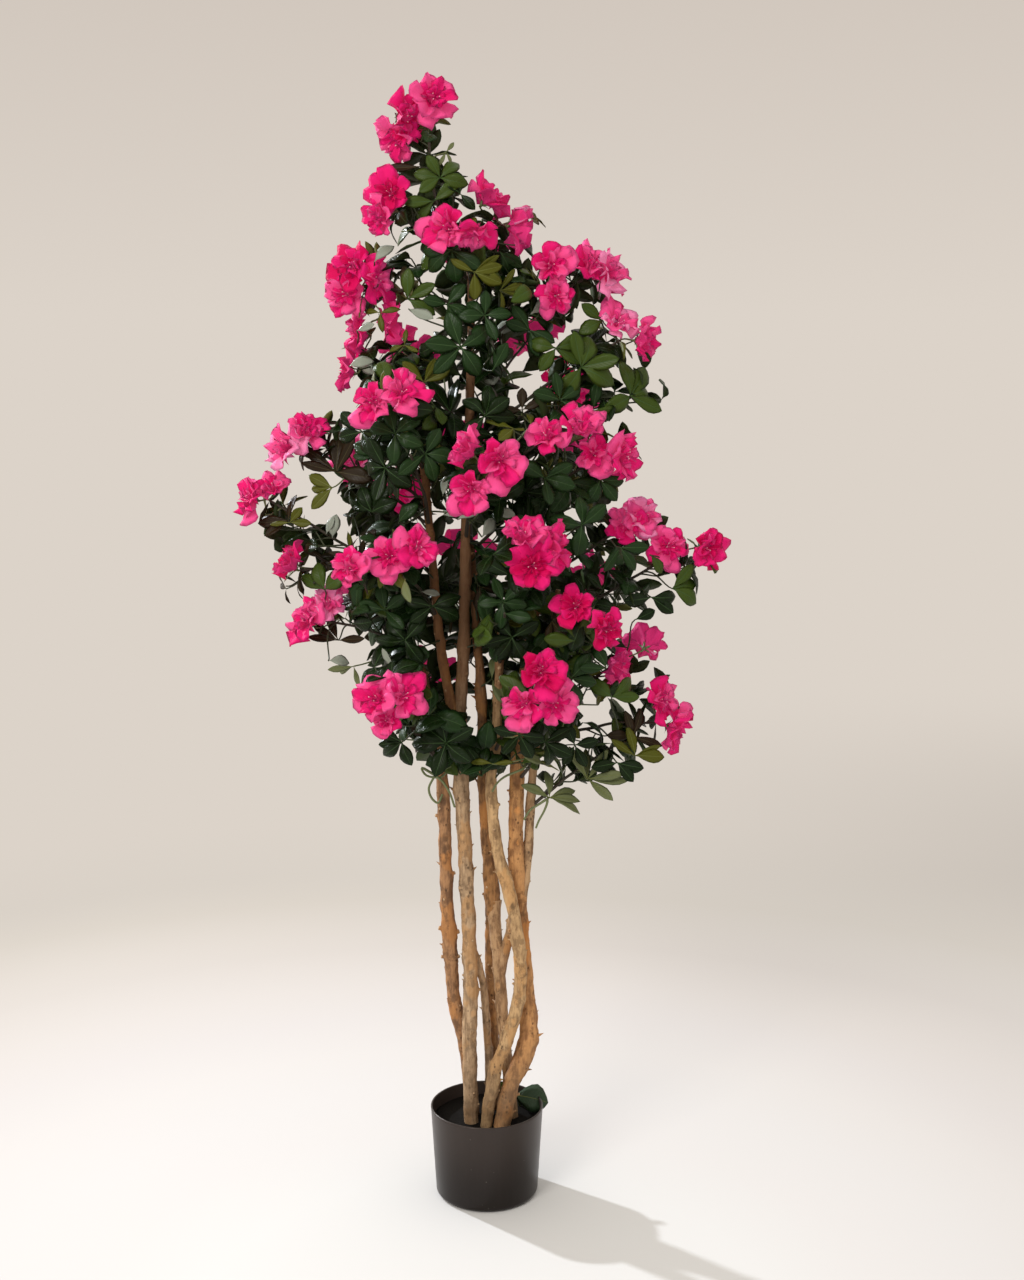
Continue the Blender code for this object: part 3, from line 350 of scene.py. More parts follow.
class Nodes:
    """Adds nodes to a tree: a type, its settings, then the values or links of its sockets."""

    def __init__(self, tree):
        self.tree = tree
        tree.nodes.clear()

    def add(self, kind, settings=None, values=None, output=0):
        node = self.tree.nodes.new(kind)
        for key, value in (settings or {}).items():
            if key == "stops":
                self.set_stops(node.color_ramp, value)
            else:
                setattr(node, key, value)
        for key, value in (values or {}).items():
            if isinstance(value, Value):
                self.tree.links.new(value.socket, node.inputs[key])
            else:
                node.inputs[key].default_value = value
        return Value(self, node.outputs[output]) if len(node.outputs) else None

    @staticmethod
    def set_stops(ramp, stops):
        while len(ramp.elements) > 1:
            ramp.elements.remove(ramp.elements[-1])
        for k, (position, colour) in enumerate(stops):
            element = ramp.elements[0] if k == 0 else ramp.elements.new(position)
            element.position = position
            element.color = (*colour, 1)[:4]

    def math(self, operation, *values):
        return self.add("ShaderNodeMath", {"operation": operation}, dict(enumerate(values)))

    def mix(self, factor, a, b):
        """Colour between a and b."""
        return self.add("ShaderNodeMix", {"data_type": "RGBA"}, {0: factor, 6: a, 7: b}, 2)

    def noise(self, vector, scale, detail=3, roughness=0.55):
        return self.add("ShaderNodeTexNoise", None, {
            "Vector": vector, "Scale": scale, "Detail": detail, "Roughness": roughness})

    def ramp(self, factor, low, high):
        """0 below low, 1 above high, smooth between."""
        return self.add("ShaderNodeMapRange", {"interpolation_type": "SMOOTHSTEP"}, {
            "Value": factor, "From Min": low, "From Max": high})

    def stretched(self, vector, scale):
        return self.add("ShaderNodeVectorMath", {"operation": "MULTIPLY"},
                        {0: vector, 1: scale})

    def part(self, vector, axis):
        """One number of a vector."""
        return self.add("ShaderNodeSeparateXYZ", None, {0: vector}, axis)

    def bump(self, height, strength, distance):
        return self.add("ShaderNodeBump", None, {
            "Strength": strength, "Distance": distance, "Height": height})


def four(colour):
    """A colour with its alpha."""
    return (*colour[:3], 1.0)


def shaded(colour, factor):
    """A colour made darker or lighter."""
    return four([channel * factor for channel in colour[:3]])


def new_material(name):
    """An empty node material of that name, and its nodes."""
    material = bpy.data.materials.new(name)
    material.use_nodes = True
    return material, Nodes(material.node_tree)


def finish_material(nodes, values):
    """Ends a tree in one Principled shader with these values."""
    shader = nodes.add("ShaderNodeBsdfPrincipled", None, values)
    nodes.add("ShaderNodeOutputMaterial", None, {"Surface": shader})


def object_coordinates(nodes):
    return nodes.add("ShaderNodeTexCoord", output="Object")


# ---- materials

SHADE_HEIGHTS = (0.58, 0.80)  # where painted shade darkens the bark inside the crown
SOIL_HEIGHTS = (0.13, 0.27)  # where it is stained above the fill
CROWN_SHADE_BARK = (0.165, 0.073, 0.027)
SOIL_BARK = (0.150, 0.092, 0.050)
END_GRAIN = ((0.30, 0.17, 0.08), (0.62, 0.43, 0.25))
PLASTIC_GLOSS = (1.0, 0.9, 0.86)
PLASTIC_LIGHT_HEIGHTS = (0.02, 0.12)  # between which painted light makes the pot's side lighter toward the top
DUST = (0.42, 0.39, 0.36)
FILL_GRAIN = ((0.0015, 0.0011, 0.0008), (0.0090, 0.0070, 0.0055))
PETAL_SHEEN = (1.0, 0.62, 0.74)


def bark_material(name, light, dark, warm):
    """Smooth dried bark: long fibres, mottling, dark pores, knots with pale hearts, and painted
    shade inside the crown.
    """
    material, nodes = new_material(name)
    place = object_coordinates(nodes)
    fibre = nodes.noise(nodes.stretched(place, (1, 1, 0.10)), 380, 5, 0.62)
    mottle = nodes.noise(nodes.stretched(place, (1, 1, 0.5)), 95, 5, 0.62)
    patch = nodes.noise(nodes.stretched(place, (1, 1, 0.6)), 26, 3)
    cluster = nodes.noise(place, 34, 2)
    stain = nodes.noise(nodes.stretched(place, (1, 1, 0.7)), 62, 5, 0.7)
    pores = nodes.add("ShaderNodeTexVoronoi", None, {
        "Vector": nodes.stretched(place, (1, 1, 0.7)), "Scale": 190.0, "Randomness": 1.0})
    pore = (1 - nodes.ramp(pores, 0.14, 0.36)) * nodes.ramp(cluster, 0.52, 0.62)
    scar = nodes.add("ShaderNodeAttribute", {"attribute_name": "scar"}, output="Fac")
    heart = nodes.add("ShaderNodeAttribute", {"attribute_name": "heart"}, output="Fac")
    colour = nodes.mix(nodes.ramp(fibre * 0.4 + mottle * 0.6, 0.38, 0.60),
                       shaded(dark, 0.9), shaded(light, 1.06))
    colour = nodes.mix(nodes.ramp(patch, 0.53, 0.60) * 0.65, colour, four(warm))
    colour = nodes.mix(nodes.ramp(1 - patch, 0.56, 0.66) * 0.5, colour, shaded(light, 1.25))
    colour = nodes.mix(nodes.ramp(stain, 0.54, 0.64) * 0.65, colour, shaded(dark, 0.70))
    colour = nodes.mix(pore * 0.8, colour, shaded(dark, 0.3))
    colour = nodes.mix(scar * nodes.ramp(mottle, 0.3, 0.5), colour, shaded(dark, 0.4))
    colour = nodes.mix(heart * nodes.ramp(mottle, 0.28, 0.5), colour, shaded(warm, 1.25))
    rise = nodes.part(place, "Z")
    # painted shade: higher up, inside the crown, the bark is mixed toward a dark brown
    colour = nodes.mix(nodes.ramp(rise, *SHADE_HEIGHTS) * 0.85, colour, four(CROWN_SHADE_BARK))
    soil = nodes.ramp(stain, 0.3, 0.6) * 0.4 + 0.35
    colour = nodes.mix((1 - nodes.ramp(rise, *SOIL_HEIGHTS)) * soil, colour, four(SOIL_BARK))
    height = fibre * 0.4 + mottle * 0.6 - pore * 0.6
    finish_material(nodes, {
        "Base Color": colour,
        "Roughness": 0.58 + mottle * 0.3,
        "Specular IOR Level": 0.35,
        "Normal": nodes.bump(height, 0.9, 1.2 * MM)})
    return material


def cut_wood_material():
    """Pale end grain of the cut stubs and tips."""
    material, nodes = new_material("cut_wood")
    place = object_coordinates(nodes)
    grain = nodes.noise(place, 700, 3)
    finish_material(nodes, {
        "Base Color": nodes.mix(grain, *map(four, END_GRAIN)),
        "Roughness": 0.85,
        "Normal": nodes.bump(grain, 0.4, 0.4 * MM)})
    return material


def plastic_material(name, colour, dust):
    """Moulded black plastic: faint drawn streaks, handling haze, dust specks and painted light
    that makes the side lighter toward the top.
    """
    material, nodes = new_material(name)
    place = object_coordinates(nodes)
    streak = nodes.noise(nodes.stretched(place, (1, 1, 0.04)), 150, 4)
    haze = nodes.noise(place, 22, 4)
    cells = nodes.add("ShaderNodeTexVoronoi", None, {"Vector": place, "Scale": 210.0})
    speck = (1 - nodes.ramp(cells, 0.05, 0.11)) * nodes.ramp(nodes.noise(place, 46, 2), 0.6, 0.66)
    rise = nodes.part(place, "Z")
    wear = streak * 0.5 + haze * 0.5
    # painted light, partly real wear: the base colour grows lighter toward the top and along the
    # streaks and haze
    light = nodes.ramp(rise, *PLASTIC_LIGHT_HEIGHTS) * 0.7 + wear * 0.3
    base = nodes.mix(light, shaded(colour, 0.3), shaded(colour, 3.4))
    base = nodes.mix(speck * dust, base, four(DUST))
    finish_material(nodes, {
        "Base Color": base,
        "Roughness": 0.24 + haze * 0.18 + speck * 0.3,
        "Specular IOR Level": 0.3,
        "Specular Tint": four(PLASTIC_GLOSS),
        "Normal": nodes.bump(wear, 0.12, 0.5 * MM)})
    return material


def fill_material():
    """Dark set fill with a grainy top."""
    material, nodes = new_material("set_fill")
    place = object_coordinates(nodes)
    grain = nodes.noise(place, 320, 6, 0.7)
    lumps = nodes.noise(place, 60, 3)
    finish_material(nodes, {
        "Base Color": nodes.mix(grain, *map(four, FILL_GRAIN)),
        "Roughness": 0.75 + grain * 0.2,
        "Specular IOR Level": 0.08,
        "Normal": nodes.bump(grain * 0.6 + lumps * 0.4, 0.7, 1.2 * MM)})
    return material


def leaf_material(name, colour, roughness, vein):
    """Coated cloth leaf: a plain colour under a satin coat, with side veins pressed in."""
    material, nodes = new_material(name)
    outline = nodes.add("ShaderNodeUVMap", {"uv_map": "outline"})
    across = nodes.part(outline, "X")
    along = nodes.part(outline, "Y")
    side = nodes.math("ABSOLUTE", across * 2 - 1)
    wave = nodes.math("PINGPONG", along * 9 - side * 2.6, 0.5)
    veins = 1 - nodes.ramp(wave, 0.0, 0.16)
    cloth = nodes.noise(object_coordinates(nodes), 900, 2)
    finish_material(nodes, {
        "Base Color": four(colour),
        "Roughness": roughness - 0.06 + cloth * 0.14,
        "Specular IOR Level": 0.16,
        "Normal": nodes.bump(veins * -0.8 + cloth * 0.3, vein, 0.4 * MM)})
    return material


def petal_material(name, colour, glow):
    """Thin dyed cloth: a plain colour with fine radial creases, and a painted glow that stands in
    for the light it lets through.
    """
    material, nodes = new_material(name)
    outline = nodes.add("ShaderNodeUVMap", {"uv_map": "outline"})
    crease = nodes.noise(nodes.stretched(outline, (20, 3.4, 1)), 1.0, 4, 0.65)
    cloth = nodes.noise(object_coordinates(nodes), 1100, 2)
    finish_material(nodes, {
        "Base Color": four(colour),
        "Roughness": 0.55 + cloth * 0.2,
        "Specular IOR Level": 0.12,
        "Sheen Weight": 0.12,
        "Sheen Roughness": 0.4,
        "Sheen Tint": four(PETAL_SHEEN),
        # painted glow: the petal gives off light in its own colour
        "Emission Color": four(colour),
        "Emission Strength": glow,
        "Normal": nodes.bump(crease * 0.85 + cloth * 0.15, 0.9, 1.0 * MM)})
    return material


def twig_material(name, colour, roughness):
    """Plastic-coated wire with a fine grain along it."""
    material, nodes = new_material(name)
    grain = nodes.noise(object_coordinates(nodes), 500, 3)
    finish_material(nodes, {
        "Base Color": four(colour),
        "Roughness": roughness - 0.08 + grain * 0.16,
        "Normal": nodes.bump(grain, 0.4, 0.3 * MM)})
    return material


LEAF_COLOURS = {
    "leaf_deep": ((0.0048, 0.0150, 0.0012), 0.32, 0.8),
    "leaf_blue": ((0.0125, 0.0350, 0.0075), 0.32, 0.8),
    "leaf_mid": ((0.0430, 0.0740, 0.0085), 0.35, 0.7),
    "leaf_olive": ((0.0760, 0.0830, 0.0060), 0.42, 0.5),
    "leaf_brown": ((0.0220, 0.0130, 0.0045), 0.35, 0.5),
    "leaf_grey": ((0.1350, 0.1560, 0.0680), 0.42, 0.4),
    # painted glint: a pale colour that stands in for light reflected off a leaf
    "leaf_shine": ((0.25, 0.28, 0.23), 0.26, 0.3),
    "leaf_foot": ((0.028, 0.052, 0.026), 0.35, 0.7),
    "rib_deep": ((0.048, 0.095, 0.032), 0.5, 0.1),
    "rib_olive": ((0.14, 0.16, 0.040), 0.5, 0.1),
    "rib_brown": ((0.060, 0.050, 0.020), 0.5, 0.1),
    "under_deep": ((0.030, 0.048, 0.014), 0.55, 0.4),
    "under_olive": ((0.095, 0.105, 0.022), 0.55, 0.4),
    "under_brown": ((0.036, 0.028, 0.012), 0.55, 0.4),
}
# for each tint its blade, its midrib and its underside
LEAF_FINISHES = (
    ("leaf_deep", "rib_deep", "under_deep"),
    ("leaf_blue", "rib_deep", "under_deep"),
    ("leaf_mid", "rib_deep", "under_deep"),
    ("leaf_olive", "rib_olive", "under_olive"),
    ("leaf_brown", "rib_brown", "under_brown"),
    ("leaf_grey", "rib_olive", "under_olive"),
    ("leaf_shine", "leaf_shine", "under_deep"),
    ("leaf_foot", "rib_olive", "under_deep"),
)
PETAL_PAINTED_GLOW = 0.27  # painted glow: emission that stands in for light let through from behind, as a share of full light
# petal_throat and petal_deep serve as painted shade, petal_light and petal_pale as painted light
# on petals; petal_pale also colours the filaments
PETAL_COLOURS = {
    "petal_throat": (0.52, 0.001, 0.078),
    "petal_deep": (0.53, 0.001, 0.078),
    "petal_hot": (0.64, 0.008, 0.135),
    "petal_light": (0.70, 0.062, 0.225),
    "petal_pale": (0.72, 0.190, 0.375),
    "petal_back": (0.58, 0.026, 0.155),
    "anther": (0.76, 0.42, 0.48),
}
# for each bloom tint its throat, most of its petals, the other ones and the backs; tint 1 is a
# painted lit copy, paler as if lit from behind, and tint 2 a painted shaded copy
PETAL_FINISHES = (
    ("petal_throat", "petal_hot", "petal_light", "petal_back"),
    ("petal_throat", "petal_light", "petal_pale", "petal_back"),
    ("petal_throat", "petal_deep", "petal_hot", "petal_back"),
)
HEART_FINISHES = ("petal_pale", "anther", "twig_fresh")  # of filaments, anthers and calyx
TWIG_COLOURS = {
    "twig_brown": ((0.040, 0.030, 0.018), 0.7),
    "twig_green": ((0.034, 0.046, 0.016), 0.55),
    "twig_fresh": ((0.130, 0.155, 0.060), 0.55),
}


@functools.lru_cache(maxsize=None)
def finish(name):
    """The material of that name, made once."""
    if name in LEAF_COLOURS:
        return leaf_material(name, *LEAF_COLOURS[name])
    if name in TWIG_COLOURS:
        return twig_material(name, *TWIG_COLOURS[name])
    return petal_material(name, PETAL_COLOURS[name], PETAL_PAINTED_GLOW)


# ---- plain limbs and the room

Shape = namedtuple("Shape", "points faces")


def frames(centres):
    """Axis, side and across directions at each centre, carried along without twist."""
    last = len(centres) - 1
    side = None
    out = []
    for k in range(len(centres)):
        axis = (centres[min(k + 1, last)] - centres[max(k - 1, 0)]).normalized()
        if side is None:
            side = axis.orthogonal() if abs(axis.z) < 0.5 else Vector((1, 0, 0))
        side = square_to(axis, side)
        out.append((axis, side, axis.cross(side)))
    return out


def tube(stations, sides, foot_plane=None, tip_plane=None):
    """A tapering limb through (point, radius) stations, closed by flat ends."""
    last = len(stations) - 1
    points = []
    for k, (frame_at, (centre, radius)) in enumerate(zip(frames([s[0] for s in stations]),
                                                         stations)):
        axis, side, across = frame_at
        plane = foot_plane if k == 0 else tip_plane if k == last else None
        for m in range(sides):
            turn = math.tau * (m + 0.5) / sides
            offset = turned(side, across, turn) * radius
            if plane is not None:
                offset -= axis * (offset.dot(plane) / axis.dot(plane))
            points.append(centre + offset)
    faces = [tuple(reversed(range(sides)))]
    for k in range(last):
        for m in range(sides):
            n = (m + 1) % sides
            low, high = k * sides, (k + 1) * sides
            faces.append((low + m, low + n, high + n, high + m))
    faces.append(tuple(range(last * sides, last * sides + sides)))
    return Shape(points, faces)


def smooth_stations(stations, steps):
    """Catmull-Rom points between the stations, with the radius carried along."""
    values = [Vector((*point, radius)) for point, radius in stations]
    values = [values[0] * 2 - values[1]] + values + [values[-1] * 2 - values[-2]]
    out = []
    for a, b, c, d in zip(values, values[1:], values[2:], values[3:]):
        for k in range(steps):
            t = k / steps
            value = 0.5 * (2 * b + (c - a) * t + (2 * a - 5 * b + 4 * c - d) * t * t
                           + (3 * b - a - 3 * c + d) * t * t * t)
            out.append((Vector(value[:3]), value[3]))
    out.append((Vector(values[-2][:3]), values[-2][3]))
    return out


def smooth_line(points, steps):
    """The smooth line through some points."""
    return [point for point, _ in smooth_stations([(p, 1.0) for p in points], steps)]


class Wood:
    """A limb: its centre line, and its skin for seating what grows on it."""

    def __init__(self, stations, shape):
        self.stations = stations
        self.skin = BVHTree.FromPolygons([tuple(p) for p in shape.points], shape.faces)

    def centre(self, height):
        """Centre, radius and direction at a height."""
        for (a, ra), (b, rb) in zip(self.stations, self.stations[1:]):
            if a.z <= height <= b.z:
                t = (height - a.z) / (b.z - a.z)
                return a.lerp(b, t), ra + (rb - ra) * t, (b - a).normalized()
        a, b = self.stations[-2][0], self.stations[-1][0]
        return b.copy(), self.stations[-1][1], (b - a).normalized()

    def seat(self, height, toward):
        """Point and face normal GAP clear of the skin, on the side that looks at a point."""
        centre, _, axis = self.centre(height)
        outward = square_to(axis, toward - centre)
        hit, normal, _, _ = self.skin.ray_cast(centre, outward)
        if normal.dot(outward) < 0:
            normal = -normal
        return hit + normal * GAP, normal


def elbow(seat, normal, radius, rise):
    """Station just off a seat, where a limb bends away from the wood that carries it."""
    return seat + normal * radius * ELBOW_OUT + UP * radius * rise, radius


def limb_stations(limb):
    """A limb's (point, radius) stations in metres."""
    return [(mm(row[:3]), row[3] * MM) for row in limb.stations]


@functools.lru_cache(maxsize=1)
def plan_limbs():
    """Stems and boughs in order, so that each can be seated on one made before it."""
    woods = {}
    for limb in LIMBS:
        stations = limb_stations(limb)
        foot, tip = [], []
        foot_plane, tip_plane = UP, None
        if limb.foot_on:
            parent, height = limb.foot_on
            radius = stations[0][1]
            seat, foot_plane = woods[parent].seat(height * MM, stations[0][0])
            foot = [(seat, radius)]
            stations.insert(0, elbow(seat, foot_plane, radius, ELBOW_RISE))
        if limb.tip_on:
            parent, height = limb.tip_on
            radius = stations[-1][1]
            seat, normal = woods[parent].seat(height * MM, stations[-1][0])
            tip = [(seat, radius)]
            tip_plane = -normal
            stations.append(elbow(seat, normal, radius, -ELBOW_RISE))
        stations = foot + smooth_stations(stations, RINGS_PER_SPAN) + tip
        woods[limb.name] = Wood(stations, tube(stations, WOOD_SIDES, foot_plane, tip_plane))
    return woods


def segment_distances(points, starts, ends):
    """Distance from each point to each segment, as a points x segments array."""
    run = ends - starts
    along = np.einsum("psk,sk->ps", points[:, None, :] - starts[None], run)
    share = np.clip(along / np.maximum((run * run).sum(1), 1e-12), 0, 1)
    nearest = starts[None] + share[..., None] * run[None]
    return np.linalg.norm(points[:, None, :] - nearest, axis=2)


class Space:
    """Tells whether points lie clear of the wood and inside one spray's own space."""

    def __init__(self, woods):
        rows = [(a[0], b[0], max(a[1], b[1])) for wood in woods.values()
                for a, b in zip(wood.stations, wood.stations[1:])]
        self.wood_a = np.array([row[0] for row in rows])
        self.wood_b = np.array([row[1] for row in rows])
        self.wood_r = np.array([row[2] for row in rows])
        self.twig_a = np.zeros((0, 3))
        self.twig_b = np.zeros((0, 3))
        self.owner = np.zeros(0, dtype=int)
        self.hearts = np.zeros((0, 3))
        self.buds = np.zeros((0, 3))
        self.kept = np.zeros((0, 4))

    def add_line(self, line, owner):
        """Give a spray the space round a line."""
        self.twig_a = np.vstack((self.twig_a, np.array(line[:-1])))
        self.twig_b = np.vstack((self.twig_b, np.array(line[1:])))
        self.owner = np.concatenate((self.owner, [owner] * (len(line) - 1)))

    def wood_clearance(self, points):
        """Least distance from each point to the bark."""
        away = segment_distances(np.array(points), self.wood_a, self.wood_b) - self.wood_r
        return away.min(axis=1)

    def twig_clearance(self, points, owner):
        """Distance from each point to its own twig and to the nearest other one."""
        away = segment_distances(np.array(points), self.twig_a, self.twig_b)
        mine = self.owner == owner
        own = away[:, mine].min(axis=1) if mine.any() else np.full(len(points), np.inf)
        other = away[:, ~mine].min(axis=1) if (~mine).any() else np.full(len(points), np.inf)
        return own, other

    def free(self, points, owner):
        """True where points are clear and in the view, in the owner's space if it has one."""
        if not (self.open_view(points) and self.clear(points)):
            return False
        if owner is None:
            return True
        own, other = self.twig_clearance(points, owner)
        return bool((own <= other + SPACE_SLACK).all())

    def keep(self, place, radius):
        """Keep what stands at a place in sight from the front."""
        x, z = seen([place])[0]
        self.kept = np.vstack((self.kept, (x, z, radius, place[1])))

    def clear(self, points):
        """True where points are clear of wood and blooms and hide nothing that is kept."""
        points = np.array(points)
        if (self.wood_clearance(points) < LEAF_OFF_WOOD).any():
            return False
        away = np.linalg.norm(points[:, None] - self.hearts[None], axis=2)
        if away.min() < LEAF_OFF_BLOOM:
            return False
        apart = np.linalg.norm(seen(points)[:, None] - self.kept[None, :, :2], axis=2)
        before = points[:, 1, None] < self.kept[None, :, 3]
        return not ((apart < self.kept[None, :, 2]) & before).any()

    def open_view(self, points):
        """True where points stay inside the crown's edges and out of its gaps."""
        shown = seen(points)
        left = np.interp(shown[:, 1], EDGES[:, 0], EDGES[:, 1]) - EDGE_SLACK
        right = np.interp(shown[:, 1], EDGES[:, 0], EDGES[:, 2]) + EDGE_SLACK
        low = np.interp(shown[:, 0], FOOT_LINE[:, 0], FOOT_LINE[:, 1])
        if ((shown[:, 0] < left) | (shown[:, 0] > right) | (shown[:, 1] < low)).any():
            return False
        inside = segment_distances(shown, GAPS[:, :2], GAPS[:, 2:4]) < GAPS[:, 4]
        deep = (np.array(points)[:, 1, None] < 0) | (GAPS[None, :, 5] > 0)
        return not (inside & deep).any()

    def bud_room(self, place):
        """Distance to the nearest whorl that stands."""
        if not len(self.buds):
            return math.inf
        return np.linalg.norm(self.buds - np.array(place), axis=1).min()

    def add_bud(self, place):
        self.buds = np.vstack((self.buds, np.array(place)[None]))


LEAF_OFF_WOOD = 1.5 * MM
LEAF_OFF_BLOOM = 21 * MM
SPACE_SLACK = 12 * MM
EDGE_SLACK = 5 * MM
EYE = np.array((35, -2352, 1212)) * MM  # where the camera stands in front
GAPS = np.array(VIEW_GAPS) * (MM, MM, MM, MM, MM, 1)
EDGES = np.array([(EDGE_FOOT + k * EDGE_STEP, *edges) for k, edges in enumerate(CROWN_EDGES)]) * MM
FOOT_LINE = np.array(CROWN_FOOT_LINE) * MM


def seen(points):
    """Where points show from the front on the plane of the stems, as rows of (x, z)."""
    points = np.array(points)
    share = EYE[1] / (EYE[1] - points[:, 1])
    return EYE[[0, 2]] + (points[:, [0, 2]] - EYE[[0, 2]]) * share[:, None]


# ---- main twigs

TWIG_RISE = 0.42  # how far a twig bends up before it reaches out
TWIG_POINTS = 5
ROOT_STEP = 24 * MM  # spacing of the places tried for a twig's root
ROOT_DROP = (20 * MM, 330 * MM)  # how far below its tip a twig may start
TWIG_CLEAR_OF_WOOD = 4.5 * MM
TWIG_CLEAR_OF_TWIG = 8.5 * MM
BLOOM_CLEARANCE = 34 * MM
TWIG_SLOPE = 0.75  # favoured rise of a twig for its reach outward
SLOPE_COST = 0.8  # what a metre off that rise costs beside a metre of length
BLOOM_BACK = 24 * MM  # from the blooms back to where they spring
BLOOM_FAN = 40 * MM  # the smaller, the more blooms of a tuft look apart
CROWN_AXIS = Vector((-15 * MM, 0, 0))
UP_BIAS = 0.7  # how much blooms look up and, before FRONT_LIMIT, forward
FRONT_BIAS = 0.7
FRONT_LIMIT = 50 * MM


def bloom_centres(spray):
    """World places of a spray's blooms, or of its tip where it has none."""
    tip = mm(spray.tip)
    return [tip + mm((x, 0, z)) for x, z, *_ in spray.blooms] or [tip]


def twig_line(start, outward, tip):
    """A twig that leaves the wood outward, bends up and ends at its tip."""
    reach = (tip - start).length
    control = start + (outward + UP).normalized() * reach * TWIG_RISE
    line = []
    for k in range(TWIG_POINTS):
        t = k / (TWIG_POINTS - 1)
        line.append(start * (1 - t) ** 2 + control * (2 * t * (1 - t)) + tip * t * t)
    return line


def facing(place):
    """The way a bloom at a place looks: outward, up and a little to the front."""
    outward = place - CROWN_AXIS
    outward.z = 0
    outward = outward / max(outward.length, 0.09)
    front = FRONT_BIAS if place.y < FRONT_LIMIT else 0.0
    return (outward + Vector((0, -front, UP_BIAS))).normalized()


def twig_tip(spray):
    """Where the main twig ends: behind the blooms, toward the crown's axis and down."""
    tip = mm(spray.tip)
    return tip - facing(tip) * BLOOM_BACK if spray.blooms else tip


def route_twigs(woods, space):
    """Choose for each spray a short, well sloped and clear twig from the wood to its tip."""
    blooms = [(bloom, k) for k, spray in enumerate(SPRAYS) for bloom in bloom_centres(spray)]
    bloom_points = np.array([bloom for bloom, _ in blooms])
    bloom_owner = np.array([owner for _, owner in blooms])
    lines = []
    for owner, spray in enumerate(SPRAYS):
        tip = twig_tip(spray)
        best = None
        for wood in woods.values():
            low, high = wood.stations[0][0].z, wood.stations[-1][0].z
            count = int((high - low) / ROOT_STEP)
            for k in range(count + 1):
                height = low + (high - low) * (k + 0.5) / (count + 1)
                drop = tip.z - height
                if not ROOT_DROP[0] < drop < ROOT_DROP[1]:
                    continue
                centre, radius, axis = wood.centre(height)
                outward = square_to(axis, tip - centre)
                line = twig_line(centre + outward * radius, outward, tip)
                reach = (tip - centre).xy.length
                cost = (tip - line[0]).length + SLOPE_COST * abs(drop - TWIG_SLOPE * reach)
                if best and cost >= best[0]:
                    continue
                fine = [a.lerp(b, t) for a, b in zip(line, line[1:]) for t in (0.25, 0.6, 1.0)]
                if space.wood_clearance(fine[1:]).min() < TWIG_CLEAR_OF_WOOD:
                    continue
                if space.twig_clearance(fine, owner)[1].min() < TWIG_CLEAR_OF_TWIG:
                    continue
                others = bloom_points[bloom_owner != owner]
                away = np.linalg.norm(np.array(fine)[:, None] - others[None], axis=2)
                if away.min() < BLOOM_CLEARANCE:
                    continue
                best = (cost, line)
        if best is None:
            raise ValueError("no clear twig for " + spray.name)
        lines.append(best[1])
        space.add_line(best[1], owner)
    for owner, spray in enumerate(SPRAYS):
        for bloom in bloom_centres(spray) if spray.blooms else ():
            space.add_line([lines[owner][-1], bloom], owner)
    return lines


# ---- growing

Twig = namedtuple("Twig", "points radii tint")
Placed = namedtuple("Placed", "place turn size form tint back")

BROAD_FORMS = (0, 0, 1, 1, 2, 3, 4)
YOUNG_FORMS = (2, 4, 5, 5, 6, 6)
STRAPPY_FORMS = (5, 6)
BLOOM_FORMS = 7
BLOOM_SIZES = (0.76, 0.91)
BLOOM_SHARES = (58, 14, 28)  # of the three bloom tints: plain, painted light and painted shade
NECK = 17 * MM  # from a bloom's middle back to its base
BACK_LINE = 60  # in mm; sprays whose tip lies beyond it are the back ones
STALKS = (  # bare stalks below the crown, in mm
    ((-66, -50, 616), (-56, -52, 604), (-47, -50, 588), (-41, -46, 568)),
    ((-69, -24, 603), (-76, -22, 588), (-73, -20, 574), (-64, -18, 566), (-58, -18, 578)),
    ((50, -52, 622), (28, -54, 613), (16, -52, 603), (9, -48, 590)),
    ((78, -36, 574), (70, -34, 568), (59, -32, 560), (51, -30, 546)),
    ((82, -36, 572), (78, -32, 559), (71, -30, 545), (67, -28, 534)),
    ((-84, -40, 620), (-78, -42, 610), (-60, -44, 608), (-50, -42, 616)),
)
STALK_RADII = (1.9 * MM, 1.4 * MM)
TWIG_RADII = (2.6 * MM, 1.7 * MM)
SHOOT_RADII = (1.3 * MM, 0.9 * MM)
PEDICEL_RADII = (1.1 * MM, 1.2 * MM)
SHOOT_GAP = 18 * MM  # between side shoots along a twig
SHOOT_LENGTHS = (24 * MM, 64 * MM)
SHOOT_SPREAD = (38, 78)
SHOOT_TRIES = 9
BUD_ROOM = 19 * MM  # least distance between whorls
WHORL_SPREAD = (44, 96)
COLLAR_SPREAD = (82, 112)
LEAF_LENGTHS = (35 * MM, 54 * MM)
YOUNG_LENGTHS = (33 * MM, 42 * MM)
OLIVE, BROWN, GREY = 3, 4, 5  # tints of young leaves
SMALL_BROWN = 0.7  # length of brown leaves as a share of the others'
PAINTED_GLINT = 6  # tint of leaves with a painted glint: a pale colour that stands in for the light they reflect
PAINTED_GLINT_SHARE = 0.015
BLOOM_IN_SIGHT = 26 * MM  # round a front bloom, where no leaf may stand before it
STAR_IN_SIGHT = 0.7  # the same for a chosen whorl, in its own leaves' length
PAIR_SHARE = 0.6  # side shoots with two more leaves below their whorl
PAIR_SPREAD = (45, 70)
FORK_SHARE = 0.32  # side shoots that fork once more
FORK_LENGTHS = (18 * MM, 38 * MM)
INNER_LENGTHS = (26 * MM, 66 * MM)
SHOOTS_FROM, SHOOTS_OVER = 0.2, 0.76  # the share of a twig that bears side shoots
STAR_SLACK = 8 * MM  # how far a star's shoot may drop or come forward at no cost
STAR_COST = 0.8  # what a metre beyond that costs beside a metre of length
INNER_GAP = 21 * MM  # between the short shoots on the wood inside the crown
